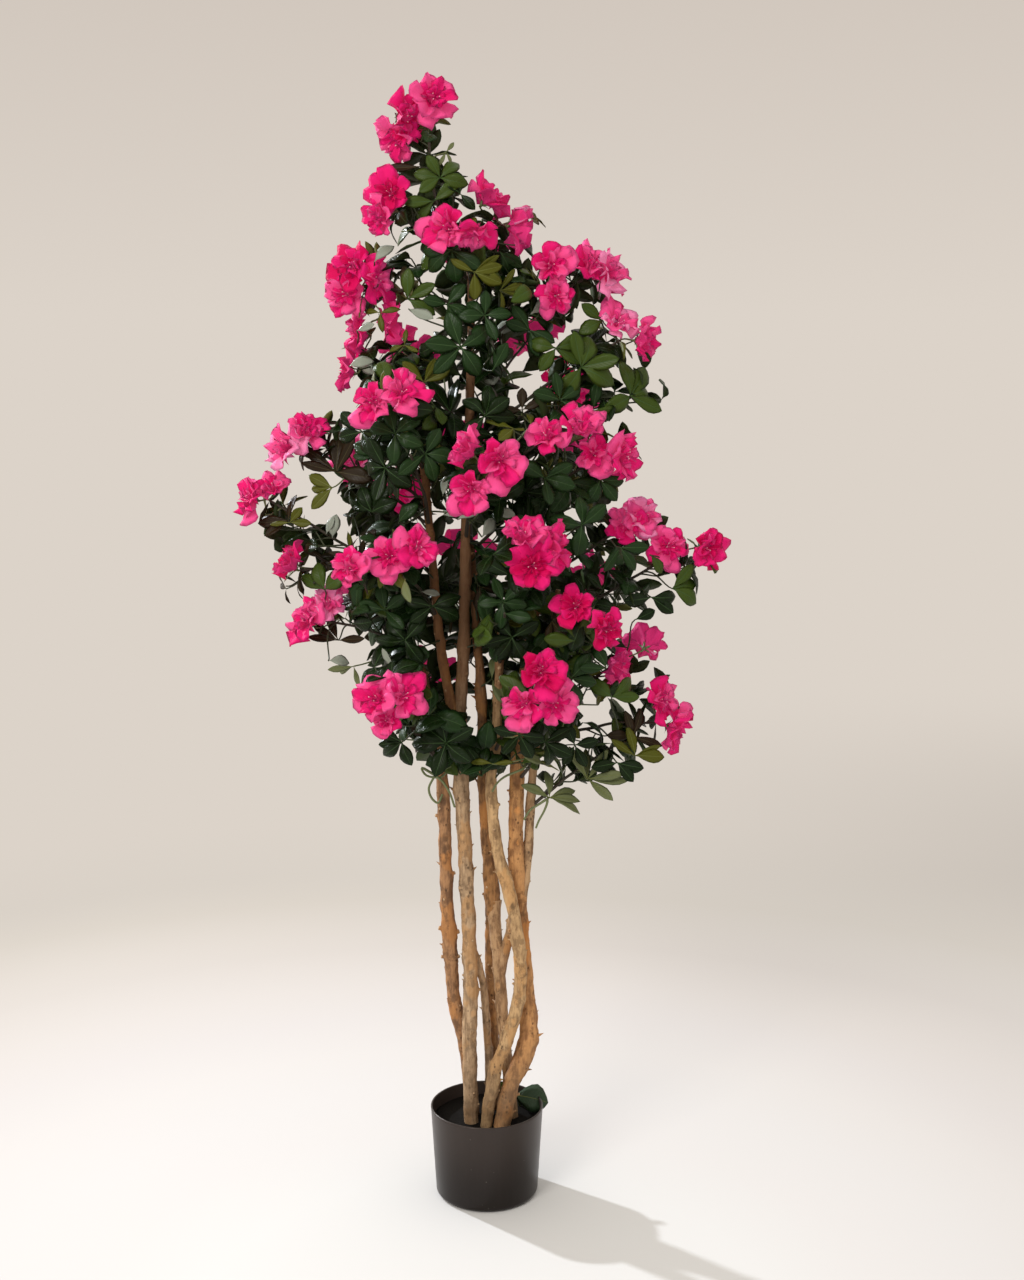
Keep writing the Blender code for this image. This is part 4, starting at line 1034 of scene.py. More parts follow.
CROWN_FOOT = 600 * MM
CURL_SHARE = 0.5  # sprays with a bare curling wire
CURL_STEPS = 14
CURL_TURNS = (0.1, 0.42)
CURL_RADII = (0.8 * MM, 0.5 * MM)
SWAY = 2.6 * MM  # how far a main twig strays from its smooth line
SWAY_APART = (0.0, 31.4, 62.8)  # how far apart its three directions read the noise


def astray(rng, reach):
    """A random vector, each number up to a reach either way."""
    return Vector([rng.uniform(-reach, reach) for _ in range(3)])


def at_back(spray):
    """Whether a spray belongs to the back of the crown."""
    return spray.tip[1] > BACK_LINE


def bend_path(start, way, end, end_way, steps):
    """A smooth path that leaves one way and arrives another."""
    reach = (end - start).length * 0.4
    a, b = start + way * reach, end - end_way * reach
    points = []
    for k in range(steps + 1):
        t = k / steps
        s = 1 - t
        points.append(start * s ** 3 + a * (3 * s * s * t) + b * (3 * s * t * t) + end * t ** 3)
    return points


def steady_noise(place):
    """Three noise values at a place; noise_vector's own change from run to run."""
    return Vector([noise.noise(place + Vector((apart,) * 3)) for apart in SWAY_APART])


def tapered(radii, count):
    return [radii[0] + (radii[1] - radii[0]) * k / (count - 1) for k in range(count)]


def turn_to(along, normal, roll):
    """Rotation that lays a leaf's length along one way with its top to another."""
    along = along.normalized()
    normal = square_to(along, normal)
    across = along.cross(normal)
    turn = Matrix((across, along, normal)).transposed().to_quaternion()
    return turn @ Quaternion((0, 1, 0), roll)


def spread_round(axis, turn, angle):
    """Direction that leaves an axis by an angle, turned round it."""
    side = axis.orthogonal().normalized()
    return turned(axis, turned(side, axis.cross(side), turn), angle).normalized()


def look_at(round_deg, up_deg):
    """Direction from degrees round from the front and degrees up."""
    turn, lift = math.radians(round_deg), math.radians(up_deg)
    return Vector((math.sin(turn) * math.cos(lift), -math.cos(turn) * math.cos(lift),
                   math.sin(lift)))


class Grower:
    """Grows twigs, leaves and blooms in the room that the wood and other sprays leave."""

    def __init__(self, space):
        self.space = space
        self.twigs = []
        self.leaves = []
        self.blooms = []
        self.lines = []

    def whorl(self, owner, root, axis, count, lengths, spread, tint, rng, back):
        """Leaves round the end of a shoot; one that would leave the room is skipped."""
        axis = axis.normalized()
        start = rng.uniform(0, math.tau)
        for k in range(count):
            turn = start + math.tau * (k + rng.uniform(-0.3, 0.3)) / count
            angle = math.radians(rng.uniform(*spread))
            along = spread_round(axis, turn, angle)
            along = (along - UP * rng.uniform(0.0, 0.16)).normalized()
            size = rng.uniform(*lengths) * (SMALL_BROWN if tint == BROWN else 1)
            form = rng.choice(BROAD_FORMS if tint < OLIVE else YOUNG_FORMS)
            roll = rng.uniform(-0.6, 0.6)
            if self.space.free([root + along * size * s for s in (0.5, 0.8, 1)], owner):
                # a few leaves take the pale tint of a painted glint
                shade = PAINTED_GLINT if rng.random() < PAINTED_GLINT_SHARE else tint
                self.leaves.append(Placed(root, turn_to(along, axis, roll), size, form, shade,
                                          back))

    def shoot(self, owner, start, axis, rng, shares, back, lengths=SHOOT_LENGTHS, forks=True):
        """A side shoot with its whorl, or nothing where every try meets something."""
        tint = rng.choices(range(6), shares)[0]
        for attempt in range(SHOOT_TRIES):
            way = spread_round(axis, rng.uniform(0, math.tau),
                               math.radians(rng.uniform(*SHOOT_SPREAD)))
            outward = Vector((start.x - CROWN_AXIS.x, start.y - 0.02, 0))
            outward = outward / max(outward.length, 0.05)
            way = (way + UP * 0.25 + outward * 0.35).normalized()
            length = rng.uniform(*lengths) * (1 - 0.05 * attempt)
            end = start + way * length
            end_way = (way + UP * 0.35 + outward * 0.25
                       + astray(rng, 0.35)).normalized()
            path = bend_path(start, way, end, end_way, 6)
            if self.space.bud_room(end) < BUD_ROOM:
                continue
            if not self.space.free(path[2:], owner):
                continue
            self.space.add_bud(end)
            young = tint == OLIVE
            self.twigs.append(Twig(path, tapered(SHOOT_RADII, 7), 2 if young else 1))
            self.whorl(owner, end, end_way, 5 if young else rng.choice((5, 6, 6)),
                       YOUNG_LENGTHS if young else LEAF_LENGTHS, WHORL_SPREAD, tint, rng, back)
            if not young and rng.random() < PAIR_SHARE:
                self.whorl(owner, path[4], path[5] - path[3], 2, LEAF_LENGTHS, PAIR_SPREAD,
                           tint, rng, back)
            if forks and rng.random() < FORK_SHARE:
                self.shoot(owner, path[3], path[4] - path[2], rng, shares, back, FORK_LENGTHS,
                           False)
            return

    def main_twig(self, spray, line):
        """The spray's main twig, a little wavy."""
        rng = random.Random("azalea twig " + spray.name)
        fine = smooth_line(line, 5)
        drift = astray(rng, 40)
        for k in range(1, len(fine) - 1):
            sway = steady_noise(fine[k] * 28 + drift) * SWAY
            fine[k] = fine[k] + sway * math.sin(math.pi * k / (len(fine) - 1))
        self.twigs.append(Twig(fine, tapered(TWIG_RADII, len(fine)), 0))
        self.lines.append(fine)

    def spray_blooms(self, spray, line):
        """The spray's blooms, each on its stalk."""
        rng = random.Random("azalea blooms " + spray.name)
        tip = mm(spray.tip)
        back = at_back(spray)
        spray_size = BIG_BLOOMS.get(spray.name, 1)
        for (_, _, *chosen), centre in zip(spray.blooms, bloom_centres(spray)):
            tint = rng.choices(range(3), BLOOM_SHARES)[0]
            tint = chosen[2] if len(chosen) > 2 else tint
            big = chosen[3] if len(chosen) > 3 else 1
            look = (facing(tip) + (centre - tip) / BLOOM_FAN).normalized()
            look = look_at(*chosen[:2]) if chosen else look
            neck = centre - look * NECK
            path = bend_path(line[-1], (line[-1] - line[-2]).normalized(), neck, look, 7)
            self.twigs.append(Twig(path, tapered(PEDICEL_RADII, 8), 2))
            turn = look.to_track_quat("Z", "Y") @ Quaternion((0, 0, 1), rng.uniform(0, math.tau))
            size = rng.uniform(*BLOOM_SIZES) * big * spray_size
            form = rng.randrange(BLOOM_FORMS)
            self.blooms.append(Placed(neck, turn, size, form, tint, back))
            if not back and spray.name not in HALF_HIDDEN:
                self.space.keep(centre, BLOOM_IN_SIGHT)

    def star(self, row, rng):
        """A whorl at a chosen place, on a shoot from the nearest twig."""
        x, y, z, tint, length, round_deg, up_deg, turns = row
        place = mm((x, y, z))
        look = look_at(round_deg, up_deg)
        side = look.cross(UP).normalized()
        rise = side.cross(look)
        rise = -rise if rise.z < 0 else rise
        side = -side if side.x < 0 else side
        best = None
        for line in self.lines:
            for a, b in zip(line, line[1:]):
                start = (a + b) / 2
                cost = (start - place).length
                cost += STAR_COST * max(0, start.z - place.z + STAR_SLACK)
                cost += STAR_COST * max(0, place.y + STAR_SLACK - start.y)
                if best is None or cost < best[0]:
                    best = (cost, start, (b - a).normalized())
        _, start, along = best
        arrive = (look * 0.8 + (place - start).normalized() * 0.6).normalized()
        path = bend_path(start, (along + (place - start).normalized() * 0.5).normalized(), place,
                         arrive, 8)
        young = tint in (OLIVE, GREY)
        forms = YOUNG_FORMS if young or tint == BROWN else BROAD_FORMS
        forms = STRAPPY_FORMS if tint == GREY else forms
        self.twigs.append(Twig(path, tapered(SHOOT_RADII, 9), 2 if young else 1))
        for turn in turns:
            angle = math.radians(turn + rng.uniform(-8, 8))
            along = turned(rise, side, angle)
            along = (along + look * rng.uniform(-0.15, 0.4)).normalized()
            size = length * MM * rng.uniform(0.92, 1.1)
            if self.space.clear([place + along * size * s for s in (0.5, 0.75, 1)]):
                self.leaves.append(Placed(place, turn_to(along, look, rng.uniform(-0.3, 0.3)),
                                          size, rng.choice(forms), tint, False))
        self.space.add_bud(place)
        return place, length * MM

    def stalk(self, points):
        """A bare stalk that hangs from the nearest twig."""
        points = [mm(p) for p in points]
        start = min((p for twig in self.twigs for p in twig.points),
                    key=lambda p: (p - points[0]).length)
        path = smooth_line([start] + points, 4)
        self.twigs.append(Twig(path, tapered(STALK_RADII, len(path)), 2))

    def stars(self):
        """All the chosen whorls; what grows later keeps them in sight."""
        rng = random.Random("azalea stars")
        kept = [self.star(row, rng) for row in STARS]
        for points in STALKS:
            self.stalk(points)
        for place, length in kept:
            self.space.keep(place, length * STAR_IN_SIGHT)

    def spray_leaves(self, owner, spray, fine):
        """The whorls on one main twig and on its side shoots."""
        rng = random.Random("azalea " + spray.name)
        back = at_back(spray)
        shares = SPRAY_TINTS.get(spray.name, TINT_SHARES)
        tint = rng.choices(range(6), shares)[0]
        self.space.add_bud(fine[-1])
        self.whorl(owner, fine[-1], fine[-1] - fine[-3], 6, LEAF_LENGTHS,
                   COLLAR_SPREAD if spray.blooms else WHORL_SPREAD, tint, rng, back)
        length = sum((b - a).length for a, b in zip(fine, fine[1:]))
        count = max(3, round(length * 0.8 / SHOOT_GAP))
        for k in range(count):
            at = (k + rng.uniform(0.2, 0.8)) / count
            at = (SHOOTS_FROM + SHOOTS_OVER * at) * (len(fine) - 1)
            j = min(int(at), len(fine) - 2)
            start = fine[j].lerp(fine[j + 1], at - j)
            self.shoot(owner, start, (fine[j + 1] - fine[j]).normalized(), rng, shares, back)
        if rng.random() < CURL_SHARE:
            self.curl(fine[len(fine) // 2], rng)

    def curl(self, start, rng):
        """A thin bare wire that curls away from a twig."""
        way = astray(rng, 1).normalized()
        axis = way.orthogonal().normalized()
        points = [start]
        for _ in range(CURL_STEPS):
            way = (Matrix.Rotation(rng.uniform(*CURL_TURNS), 3, axis) @ way).normalized()
            points.append(points[-1] + way * 4.2 * MM)
        if self.space.free(points[3:], None):
            self.twigs.append(Twig(points, tapered(CURL_RADII, CURL_STEPS + 1), 1))

    def inner_shoots(self, name, wood):
        """Short leafy shoots on the wood itself, inside the crown."""
        rng = random.Random("azalea inner " + name)
        height = CROWN_FOOT
        top = wood.stations[-1][0].z
        while height < top - 10 * MM:
            centre, radius, axis = wood.centre(height)
            back = rng.random() < 0.5
            way = spread_round(axis, rng.uniform(0, math.tau), math.radians(80))
            self.shoot(None, centre + way * radius * 0.8, (way + UP * 0.4).normalized(), rng,
                       TINT_SHARES, back, INNER_LENGTHS, False)
            height += INNER_GAP * rng.uniform(0.7, 1.3)


@functools.lru_cache(maxsize=1)
def grow_plant():
    """All twigs, leaves and blooms of the plant."""
    woods = plan_limbs()
    space = Space(woods)
    lines = route_twigs(woods, space)
    space.hearts = np.array([bloom for spray in SPRAYS if spray.blooms
                             for bloom in bloom_centres(spray)])
    grower = Grower(space)
    for spray, line in zip(SPRAYS, lines):
        grower.main_twig(spray, line)
    for spray, line in zip(SPRAYS, grower.lines):
        if spray.blooms:
            grower.spray_blooms(spray, line)
    grower.stars()
    for owner, (spray, line) in enumerate(zip(SPRAYS, grower.lines)):
        grower.spray_leaves(owner, spray, line)
    for name, wood in woods.items():
        if wood.stations[-1][0].z > CROWN_FOOT:
            grower.inner_shoots(name, wood)
    return grower


# ---- meshes

class Sheet:
    """One mesh in the making: points with a place on the outline, and faces with a part."""

    def __init__(self):
        self.points = []
        self.places = []
        self.faces = []
        self.parts = []

    def add(self, point, place=(0.0, 0.0)):
        self.points.append(tuple(point))
        self.places.append(place)
        return len(self.points) - 1

    def face(self, corners, part):
        self.faces.append(corners)
        self.parts.append(part)

    def skin_strip(self, low, high, part):
        """Faces between two closed rows of points."""
        for m in range(len(low)):
            n = (m + 1) % len(low)
            self.face((low[m], low[n], high[n], high[m]), part)

    def tube(self, stations, sides, part, cap_part=None):
        """A closed tapering tube through (point, radius) stations."""
        shape = tube(stations, sides)
        first = len(self.points)
        for point in shape.points:
            self.add(point)
        for k, corners in enumerate(shape.faces):
            cap = k in (0, len(shape.faces) - 1)
            self.face([first + c for c in corners], cap_part if cap and cap_part is not None
                      else part)

    def mesh(self, name):
        mesh = bpy.data.meshes.new(name)
        mesh.from_pydata(self.points, [], self.faces)
        mesh.shade_smooth()
        loops = np.empty(len(mesh.loops), dtype=np.int32)
        mesh.loops.foreach_get("vertex_index", loops)
        outline = mesh.uv_layers.new(name="outline")
        outline.data.foreach_set("uv", np.array(self.places, dtype=np.float32)[loops].ravel())
        put_attribute(mesh, "part", "INT", "FACE", self.parts)
        return mesh


def put_attribute(mesh, name, kind, domain, values):
    """Store one number, or one turn, for each point or face."""
    attribute = mesh.attributes.new(name, kind, domain)
    attribute.data.foreach_set("value", np.array(values, dtype=np.float32).ravel()
                               if kind != "INT" else np.array(values, dtype=np.int32))


def show(name, mesh):
    """An object at the origin that shows a mesh."""
    item = bpy.data.objects.new(name, mesh)
    bpy.context.scene.collection.objects.link(item)
    return item


def drop(item):
    """Take an object and its mesh out of the scene."""
    mesh = item.data
    bpy.data.objects.remove(item)
    bpy.data.meshes.remove(mesh)


def finished(name, mesh, replaced=()):
    """Show a finished mesh as a piece of the plant, in place of CAD nodes."""
    piece = show(name, mesh)
    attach(piece, BODY)
    if replaced:
        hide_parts(*replaced)
    return piece


# ---- geometry node trees

def grown_mesh(name, source, tree, inputs):
    """The plain mesh that a node tree makes of a source mesh, with its numbers set first."""
    host = show(name + "_source", source)
    modifier = host.modifiers.new("grow", "NODES")
    modifier.node_group = tree
    sockets = {s.name: s.identifier for s in tree.interface.items_tree if s.in_out == "INPUT"}
    for label, value in inputs.items():
        modifier[sockets[label]] = value
    depsgraph = bpy.context.evaluated_depsgraph_get()
    mesh = bpy.data.meshes.new_from_object(host.evaluated_get(depsgraph),
                                           preserve_all_data_layers=True, depsgraph=depsgraph)
    mesh.name = name
    host.modifiers.remove(modifier)
    drop(host)
    return mesh


def new_tree(name, numbers):
    """A geometry tree with a geometry input, named numbers and one output."""
    tree = bpy.data.node_groups.new(name, "GeometryNodeTree")
    tree.interface.new_socket("Places", in_out="INPUT", socket_type="NodeSocketGeometry")
    for label, kind, default in numbers:
        socket = tree.interface.new_socket(label, in_out="INPUT", socket_type=kind)
        socket.default_value = default
    tree.interface.new_socket("Pieces", in_out="OUTPUT", socket_type="NodeSocketGeometry")
    nodes = Nodes(tree)
    places = nodes.add("NodeGroupInput")
    values = [Value(nodes, socket) for socket in places.socket.node.outputs]
    return tree, nodes, values


def named(nodes, name, kind):
    """An attribute of the points, read by its name."""
    return nodes.add("GeometryNodeInputNamedAttribute", {"data_type": kind}, {"Name": name})


def equals(nodes, value, number):
    return nodes.add("FunctionNodeCompare", {"data_type": "FLOAT", "operation": "EQUAL"},
                     {0: value, 1: float(number), 12: 0.1})


def painted(nodes, geometry, key, finishes):
    """Give each key number its material, one Set Material after another."""
    for number, material in finishes.items():
        geometry = nodes.add("GeometryNodeSetMaterial", None, {
            "Geometry": geometry, "Selection": equals(nodes, key, number),
            "Material": material})
    return geometry


def scatter_tree(name, forms, parts, finishes):
    """Puts the numbered forms on points, each with its own turn and size, and paints them."""
    tree, nodes, (places, size, _) = new_tree(name, [("Size", "NodeSocketFloat", 1.0)])
    shapes = nodes.add("GeometryNodeCollectionInfo", None, {
        "Collection": forms, "Separate Children": True, "Reset Children": True})
    put = nodes.add("GeometryNodeInstanceOnPoints", None, {
        "Points": places, "Instance": shapes, "Pick Instance": True,
        "Instance Index": named(nodes, "form", "INT"),
        "Rotation": named(nodes, "turn", "QUATERNION"),
        "Scale": named(nodes, "size", "FLOAT") * size})
    real = nodes.add("GeometryNodeRealizeInstances", None, {"Geometry": put})
    key = named(nodes, "tint", "INT") * parts + named(nodes, "part", "INT")
    nodes.add("NodeGroupOutput", None, {"Pieces": painted(nodes, real, key, finishes)})
    return tree


def wire_tree(name, finishes):
    """Round wires along lines, each point with its own radius."""
    tree, nodes, (places, sides, thickness, _) = new_tree(name, [
        ("Sides", "NodeSocketInt", 6), ("Thickness", "NodeSocketFloat", 1.0)])
    lines = nodes.add("GeometryNodeMeshToCurve", None, {"Mesh": places})
    circle = nodes.add("GeometryNodeCurvePrimitiveCircle", None, {0: sides, 4: 1.0})
    wires = nodes.add("GeometryNodeCurveToMesh", None, {
        "Curve": lines, "Profile Curve": circle, "Fill Caps": True,
        "Scale": named(nodes, "radius", "FLOAT") * thickness})
    smooth = nodes.add("GeometryNodeSetShadeSmooth", None, {"Geometry": wires})
    real = nodes.add("GeometryNodeRealizeInstances", None, {"Geometry": smooth})
    key = named(nodes, "tint", "INT")
    nodes.add("NodeGroupOutput", None, {"Pieces": painted(nodes, real, key, finishes)})
    return tree


def scattered(name, placed, shapes, parts, finishes, size):
    """One joined mesh of many placed forms."""
    forms = bpy.data.collections.new(name + "_forms")
    items = []
    for k, sheet in enumerate(shapes):
        item = bpy.data.objects.new(f"{name}_form_{k:02d}", sheet.mesh(f"{name}_form_{k:02d}"))
        forms.objects.link(item)
        items.append(item)
    source = bpy.data.meshes.new(name + "_places")
    source.from_pydata([tuple(p.place) for p in placed], [], [])
    for key, kind in (("turn", "QUATERNION"), ("size", "FLOAT"), ("form", "INT"), ("tint", "INT")):
        put_attribute(source, key, kind, "POINT", [getattr(p, key) for p in placed])
    tree = scatter_tree(name + "_scatter", forms, parts, finishes)
    mesh = grown_mesh(name, source, tree, {"Size": size})
    bpy.data.node_groups.remove(tree)
    for item in items:
        drop(item)
    bpy.data.collections.remove(forms)
    return mesh


def wired(name, twigs, sides, thickness):
    """One mesh of round wires along twigs."""
    points, edges = [], []
    for twig in twigs:
        first = len(points)
        points += [tuple(point) for point in twig.points]
        edges += [(k, k + 1) for k in range(first, len(points) - 1)]
    source = bpy.data.meshes.new(name + "_lines")
    source.from_pydata(points, edges, [])
    put_attribute(source, "radius", "FLOAT", "POINT", [r for twig in twigs for r in twig.radii])
    put_attribute(source, "tint", "INT", "POINT", [t.tint for t in twigs for _ in t.points])
    tree = wire_tree(name + "_wires", {k: finish(tint) for k, tint in enumerate(TWIG_COLOURS)})
    return grown_mesh(name, source, tree, {"Sides": sides, "Thickness": thickness})


# ---- leaf and bloom forms

LEAF_ROWS = (0.0, 0.11, 0.28, 0.45, 0.62, 0.79, 0.92)
LEAF_HALF_WIDTHS = (0.014, 0.034, 0.138, 0.212, 0.238, 0.192, 0.096)
RIB_HALF_WIDTH = 0.010
LEAF_THICKNESS = 0.008
BLADE, RIB, UNDER = 0, 1, 2
LEAF_PARTS = 3

LeafShape = namedtuple("LeafShape", "lift droop bulge cup twist wave width")
LEAF_SHAPES = (
    LeafShape(0.05, 0.10, 0.034, 0.10, 6, 0.008, 1.05),
    LeafShape(0.09, 0.26, 0.038, 0.06, -10, 0.012, 1.18),
    LeafShape(0.02, -0.08, 0.030, 0.20, 6, 0.014, 0.92),
    LeafShape(0.12, 0.40, 0.040, 0.02, 14, 0.010, 1.08),
    LeafShape(0.04, 0.06, 0.030, 0.16, -16, 0.018, 1.0),
    LeafShape(0.07, 0.20, 0.024, 0.16, 12, 0.012, 0.68),
    LeafShape(0.03, -0.10, 0.022, 0.20, -14, 0.010, 0.60),
    LeafShape(0.05, 0.16, 0.026, 0.04, 4, 0.014, 1.75),
)


def leaf_form(shape):
    """A leaf of unit length along +Y: rib, two arched half blades and a closed underside."""
    sheet = Sheet()

    def at(t, c, half, drop_by=0.0):
        """Point of the blade at a share of its length and of its half width."""
        z = shape.lift * math.sin(math.pi * t) - shape.droop * t * t
        z += shape.bulge * half * 4 * abs(c) * (1 - abs(c)) * 4
        z += shape.cup * half * abs(c) + shape.wave * math.sin(t * 13 + c) * abs(c)
        turn = math.radians(shape.twist) * t
        x = c * half
        bend = 1 - 0.25 * shape.droop * t
        return (x * math.cos(turn), t * bend, z + x * math.sin(turn) - drop_by)

    rows, keels = [], []
    for t, half in zip(LEAF_ROWS, [width * shape.width for width in LEAF_HALF_WIDTHS]):
        rib = min(0.6, RIB_HALF_WIDTH * (1 - 0.7 * t) / half)
        columns = (-1, -0.55, -rib, rib, 0.55, 1) if rib < 0.5 else (-1, -0.8, -0.6, 0.6, 0.8, 1)
        rows.append([sheet.add(at(t, c, half), (c / 2 + 0.5, t)) for c in columns])
        keels.append(sheet.add(at(t, 0, half, LEAF_THICKNESS), (0.5, t)))
    tip = sheet.add(at(1.0, 0, 0.0), (0.5, 1.0))
    for row, upper in zip(rows, rows[1:]):
        for j in range(5):
            sheet.face((row[j], row[j + 1], upper[j + 1], upper[j]), RIB if j == 2 else BLADE)
    for j in range(5):
        sheet.face((rows[-1][j], rows[-1][j + 1], tip), RIB if j == 2 else BLADE)
    for k in range(len(rows) - 1):
        sheet.face((rows[k][0], rows[k + 1][0], keels[k + 1], keels[k]), UNDER)
        sheet.face((keels[k], keels[k + 1], rows[k + 1][-1], rows[k][-1]), UNDER)
    sheet.face((rows[-1][0], tip, keels[-1]), UNDER)
    sheet.face((keels[-1], tip, rows[-1][-1]), UNDER)
    sheet.face([keels[0]] + rows[0][::-1], UNDER)
    return sheet


THROAT, MIDDLE, EDGE, BACK, FILAMENT, ANTHER, CALYX = range(7)
BLOOM_PARTS = 7
PETAL_THICKNESS = 0.35 * MM
PETAL_FOOT = 1.6 * MM
THROAT_END, MIDDLE_END = 0.27, 0.46  # shares of a petal's length up to which it is darker, painted shade in the bloom's core
CRINKLE = 1.7 * MM  # how far a petal's points stray from its smooth curve

# rings of petals from the outside in; angles are from the bloom's axis, at foot and tip; light is
# the share of petals painted lighter over their outer part, painted light let through a single
# layer
PetalRing = namedtuple("PetalRing", "count length fan rays rows foot_angle tip_angle cup ruffle "
                                    "light")
PETAL_RINGS = (
    PetalRing(5, 46 * MM, 37, 9, 7, 30, 96, -0.03, 0.18, 0.78),
    PetalRing(5, 42 * MM, 37, 9, 7, 20, 73, 0.05, 0.20, 0.55),
    PetalRing(5, 35 * MM, 37, 8, 6, 9, 50, 0.11, 0.22, 0.3),
    PetalRing(4, 25 * MM, 37, 6, 5, 3, 36, 0.16, 0.22, 0.0),
)


def add_petal(sheet, azimuth, ring, openness, rng):
    """One cupped and ruffled petal, closed by a thin back; those on one side open wider."""
    wide = math.cos(azimuth)
    length = ring.length * rng.uniform(0.80, 1.08) * (1 + 0.09 * wide)
    foot = math.radians(ring.foot_angle + rng.uniform(-3, 3) + 5 * wide)
    tip = math.radians(ring.tip_angle * openness + rng.uniform(-27, 15) + 14 * wide)
    phase = rng.uniform(0, math.tau)
    waves = rng.uniform(3.4, 6.4)
    lean = rng.uniform(-0.3, 0.3)
    notch = rng.uniform(-0.05, 0.09)
    # painted light: some petals, most in the outer rings, take a lighter colour over their outer
    # part
    blade = EDGE if rng.random() < ring.light else MIDDLE
    rows = [[] for _ in range(ring.rows)]
    backs = [[] for _ in range(ring.rows)]
    for j in range(ring.rays):
        v = -1 + 2 * j / (ring.rays - 1)
        turn = azimuth + math.radians(ring.fan) * v * (1 + 0.1 * math.sin(phase))
        reach = length * (1 - 0.38 * abs(v) ** 2.4 - notch * math.exp(-(v / 0.25) ** 2)
                          + 0.022 * math.sin(v * 9 + phase) + rng.uniform(-0.02, 0.02))
        out, up = PETAL_FOOT, 0.0
        for i in range(ring.rows):
            s = i / (ring.rows - 1)
            angle = foot + (tip - foot) * s ** 1.15 + lean * v * s
            if i:
                out += math.sin(angle) * reach / (ring.rows - 1)
                up += math.cos(angle) * reach / (ring.rows - 1)
            rise = ring.cup * v * v * s * (1.1 - 0.5 * s)
            rise += ring.ruffle * s * s * math.sin(v * waves + phase + s * 1.5) * (0.35 + abs(v))
            rise -= 0.03 * math.exp(-(v / 0.3) ** 2) * s * (1 - s)
            rise = rise * length + rng.uniform(-1, 1) * CRINKLE * s
            normal = (-math.cos(angle), math.sin(angle))
            edge = i in (0, ring.rows - 1) or j in (0, ring.rays - 1)
            for row, depth in ((rows[i], 0.0), (backs[i], 0.0 if edge else PETAL_THICKNESS)):
                if row is backs[i] and edge:
                    row.append(rows[i][-1])
                    continue
                r = out + normal[0] * (rise - depth)
                z = up + normal[1] * (rise - depth)
                row.append(sheet.add((r * math.cos(turn), r * math.sin(turn), z),
                                     (v / 2 + 0.5, s)))
    for i in range(ring.rows - 1):
        s = (i + 0.5) / (ring.rows - 1)
        # painted shade at the throat, then the middle colour, then the petal's blade colour
        part = THROAT if s < THROAT_END else MIDDLE if s < MIDDLE_END else blade
        for j in range(ring.rays - 1):
            sheet.face((rows[i][j], rows[i + 1][j], rows[i + 1][j + 1], rows[i][j + 1]), part)
            sheet.face((backs[i][j], backs[i][j + 1], backs[i + 1][j + 1], backs[i + 1][j]), BACK)


def bloom_form(seed):
    """A double bloom that looks along +Z: rings of petals, filaments and a green calyx."""
    rng = random.Random(f"azalea bloom {seed}")
    sheet = Sheet()
    openness = 0.78 + 0.3 * (seed + 0.5) / BLOOM_FORMS
    for k, ring in enumerate(PETAL_RINGS):
        start = math.radians(36 * k + rng.uniform(-8, 8))
        for m in range(ring.count):
            azimuth = start + math.tau * m / ring.count + rng.uniform(-0.09, 0.09)
            add_petal(sheet, azimuth, ring, openness, rng)
    for k in range(3):
        turn = math.tau * (k + rng.uniform(-0.2, 0.2)) / 3
        way = Vector((math.cos(turn) * 0.28, math.sin(turn) * 0.28, 1))
        length = rng.uniform(15, 20) * MM
        points = [(way * length * s + UP * 2 * MM, (0.45 - 0.1 * s) * MM) for s in (0, 0.5, 1)]
        sheet.tube(points, 4, FILAMENT)
        end = points[-1][0]
        sheet.tube([(end, 0.5 * MM), (end + way * 1.1 * MM, 1.0 * MM),
                    (end + way * 2.2 * MM, 0.4 * MM)], 4, ANTHER)
    sheet.tube([(mm((0, 0, -4)), 1.4 * MM), (Vector((0, 0, 0)), 2.6 * MM),
                (mm((0, 0, 3)), 3.4 * MM)], 7, CALYX)
    for k in range(5):
        turn = math.tau * (k + 0.5) / 5
        out = Vector((math.cos(turn), math.sin(turn), 0))
        side = UP.cross(out)
        foot, mid, tip = out * 2.4 * MM, out * 7 * MM + UP * 3.5 * MM, out * 12 * MM + UP * 4 * MM
        corners = [sheet.add(foot + side * 1.8 * MM), sheet.add(mid + side * 1.9 * MM),
                   sheet.add(tip), sheet.add(mid - side * 1.9 * MM),
                   sheet.add(foot - side * 1.8 * MM)]
        below = sheet.add(mid - UP * 0.8 * MM)
        sheet.face(corners, CALYX)
        for a, b in zip(corners, corners[1:] + corners[:1]):
            sheet.face((b, a, below), CALYX)
    return sheet


# ---- bark

# marks that stand out: kind, height in mm, degrees round from the front, size in mm
KNOTS = {
    "stem_main": (("scar", 518, -16, 4.6), ("dent", 422, 4, 4), ("scar", 336, 9, 4.2),
        ("scar", 271, 30, 4.6), ("dent", 458, 30, 4)),
    "stem_left": (("scar", 490, -19, 5), ("stub", 379, 80, 6.5), ("stub", 344, 70, 5.4),
        ("stub", 385, -80, 6.4), ("stub", 545, -70, 5), ("stub", 462, 80, 5.2),
        ("stub", 430, -20, 3.6), ("stub", 345, -75, 5.2), ("dent", 515, 10, 5)),
    "stem_crossing": (("scar", 330, 40, 5), ("scar", 272, 3, 4.5), ("dent", 224, -26, 4.5),
        ("dent", 430, 10, 4)),
    "stem_forked": (("scar", 304, -23, 4.5),),
    "stem_twisted": (("scar", 395, 27, 6),),
    "stem_orange": (("scar", 555, 12, 5), ("thorn", 426, 37, 5), ("thorn", 237, 76, 5),
        ("thorn", 195, 85, 5), ("dent", 590, -10, 4)),
}
KNOT_GAP = (8 * MM, 20 * MM)
KNOT_END = 12 * MM  # of a limb, that keeps no random knot
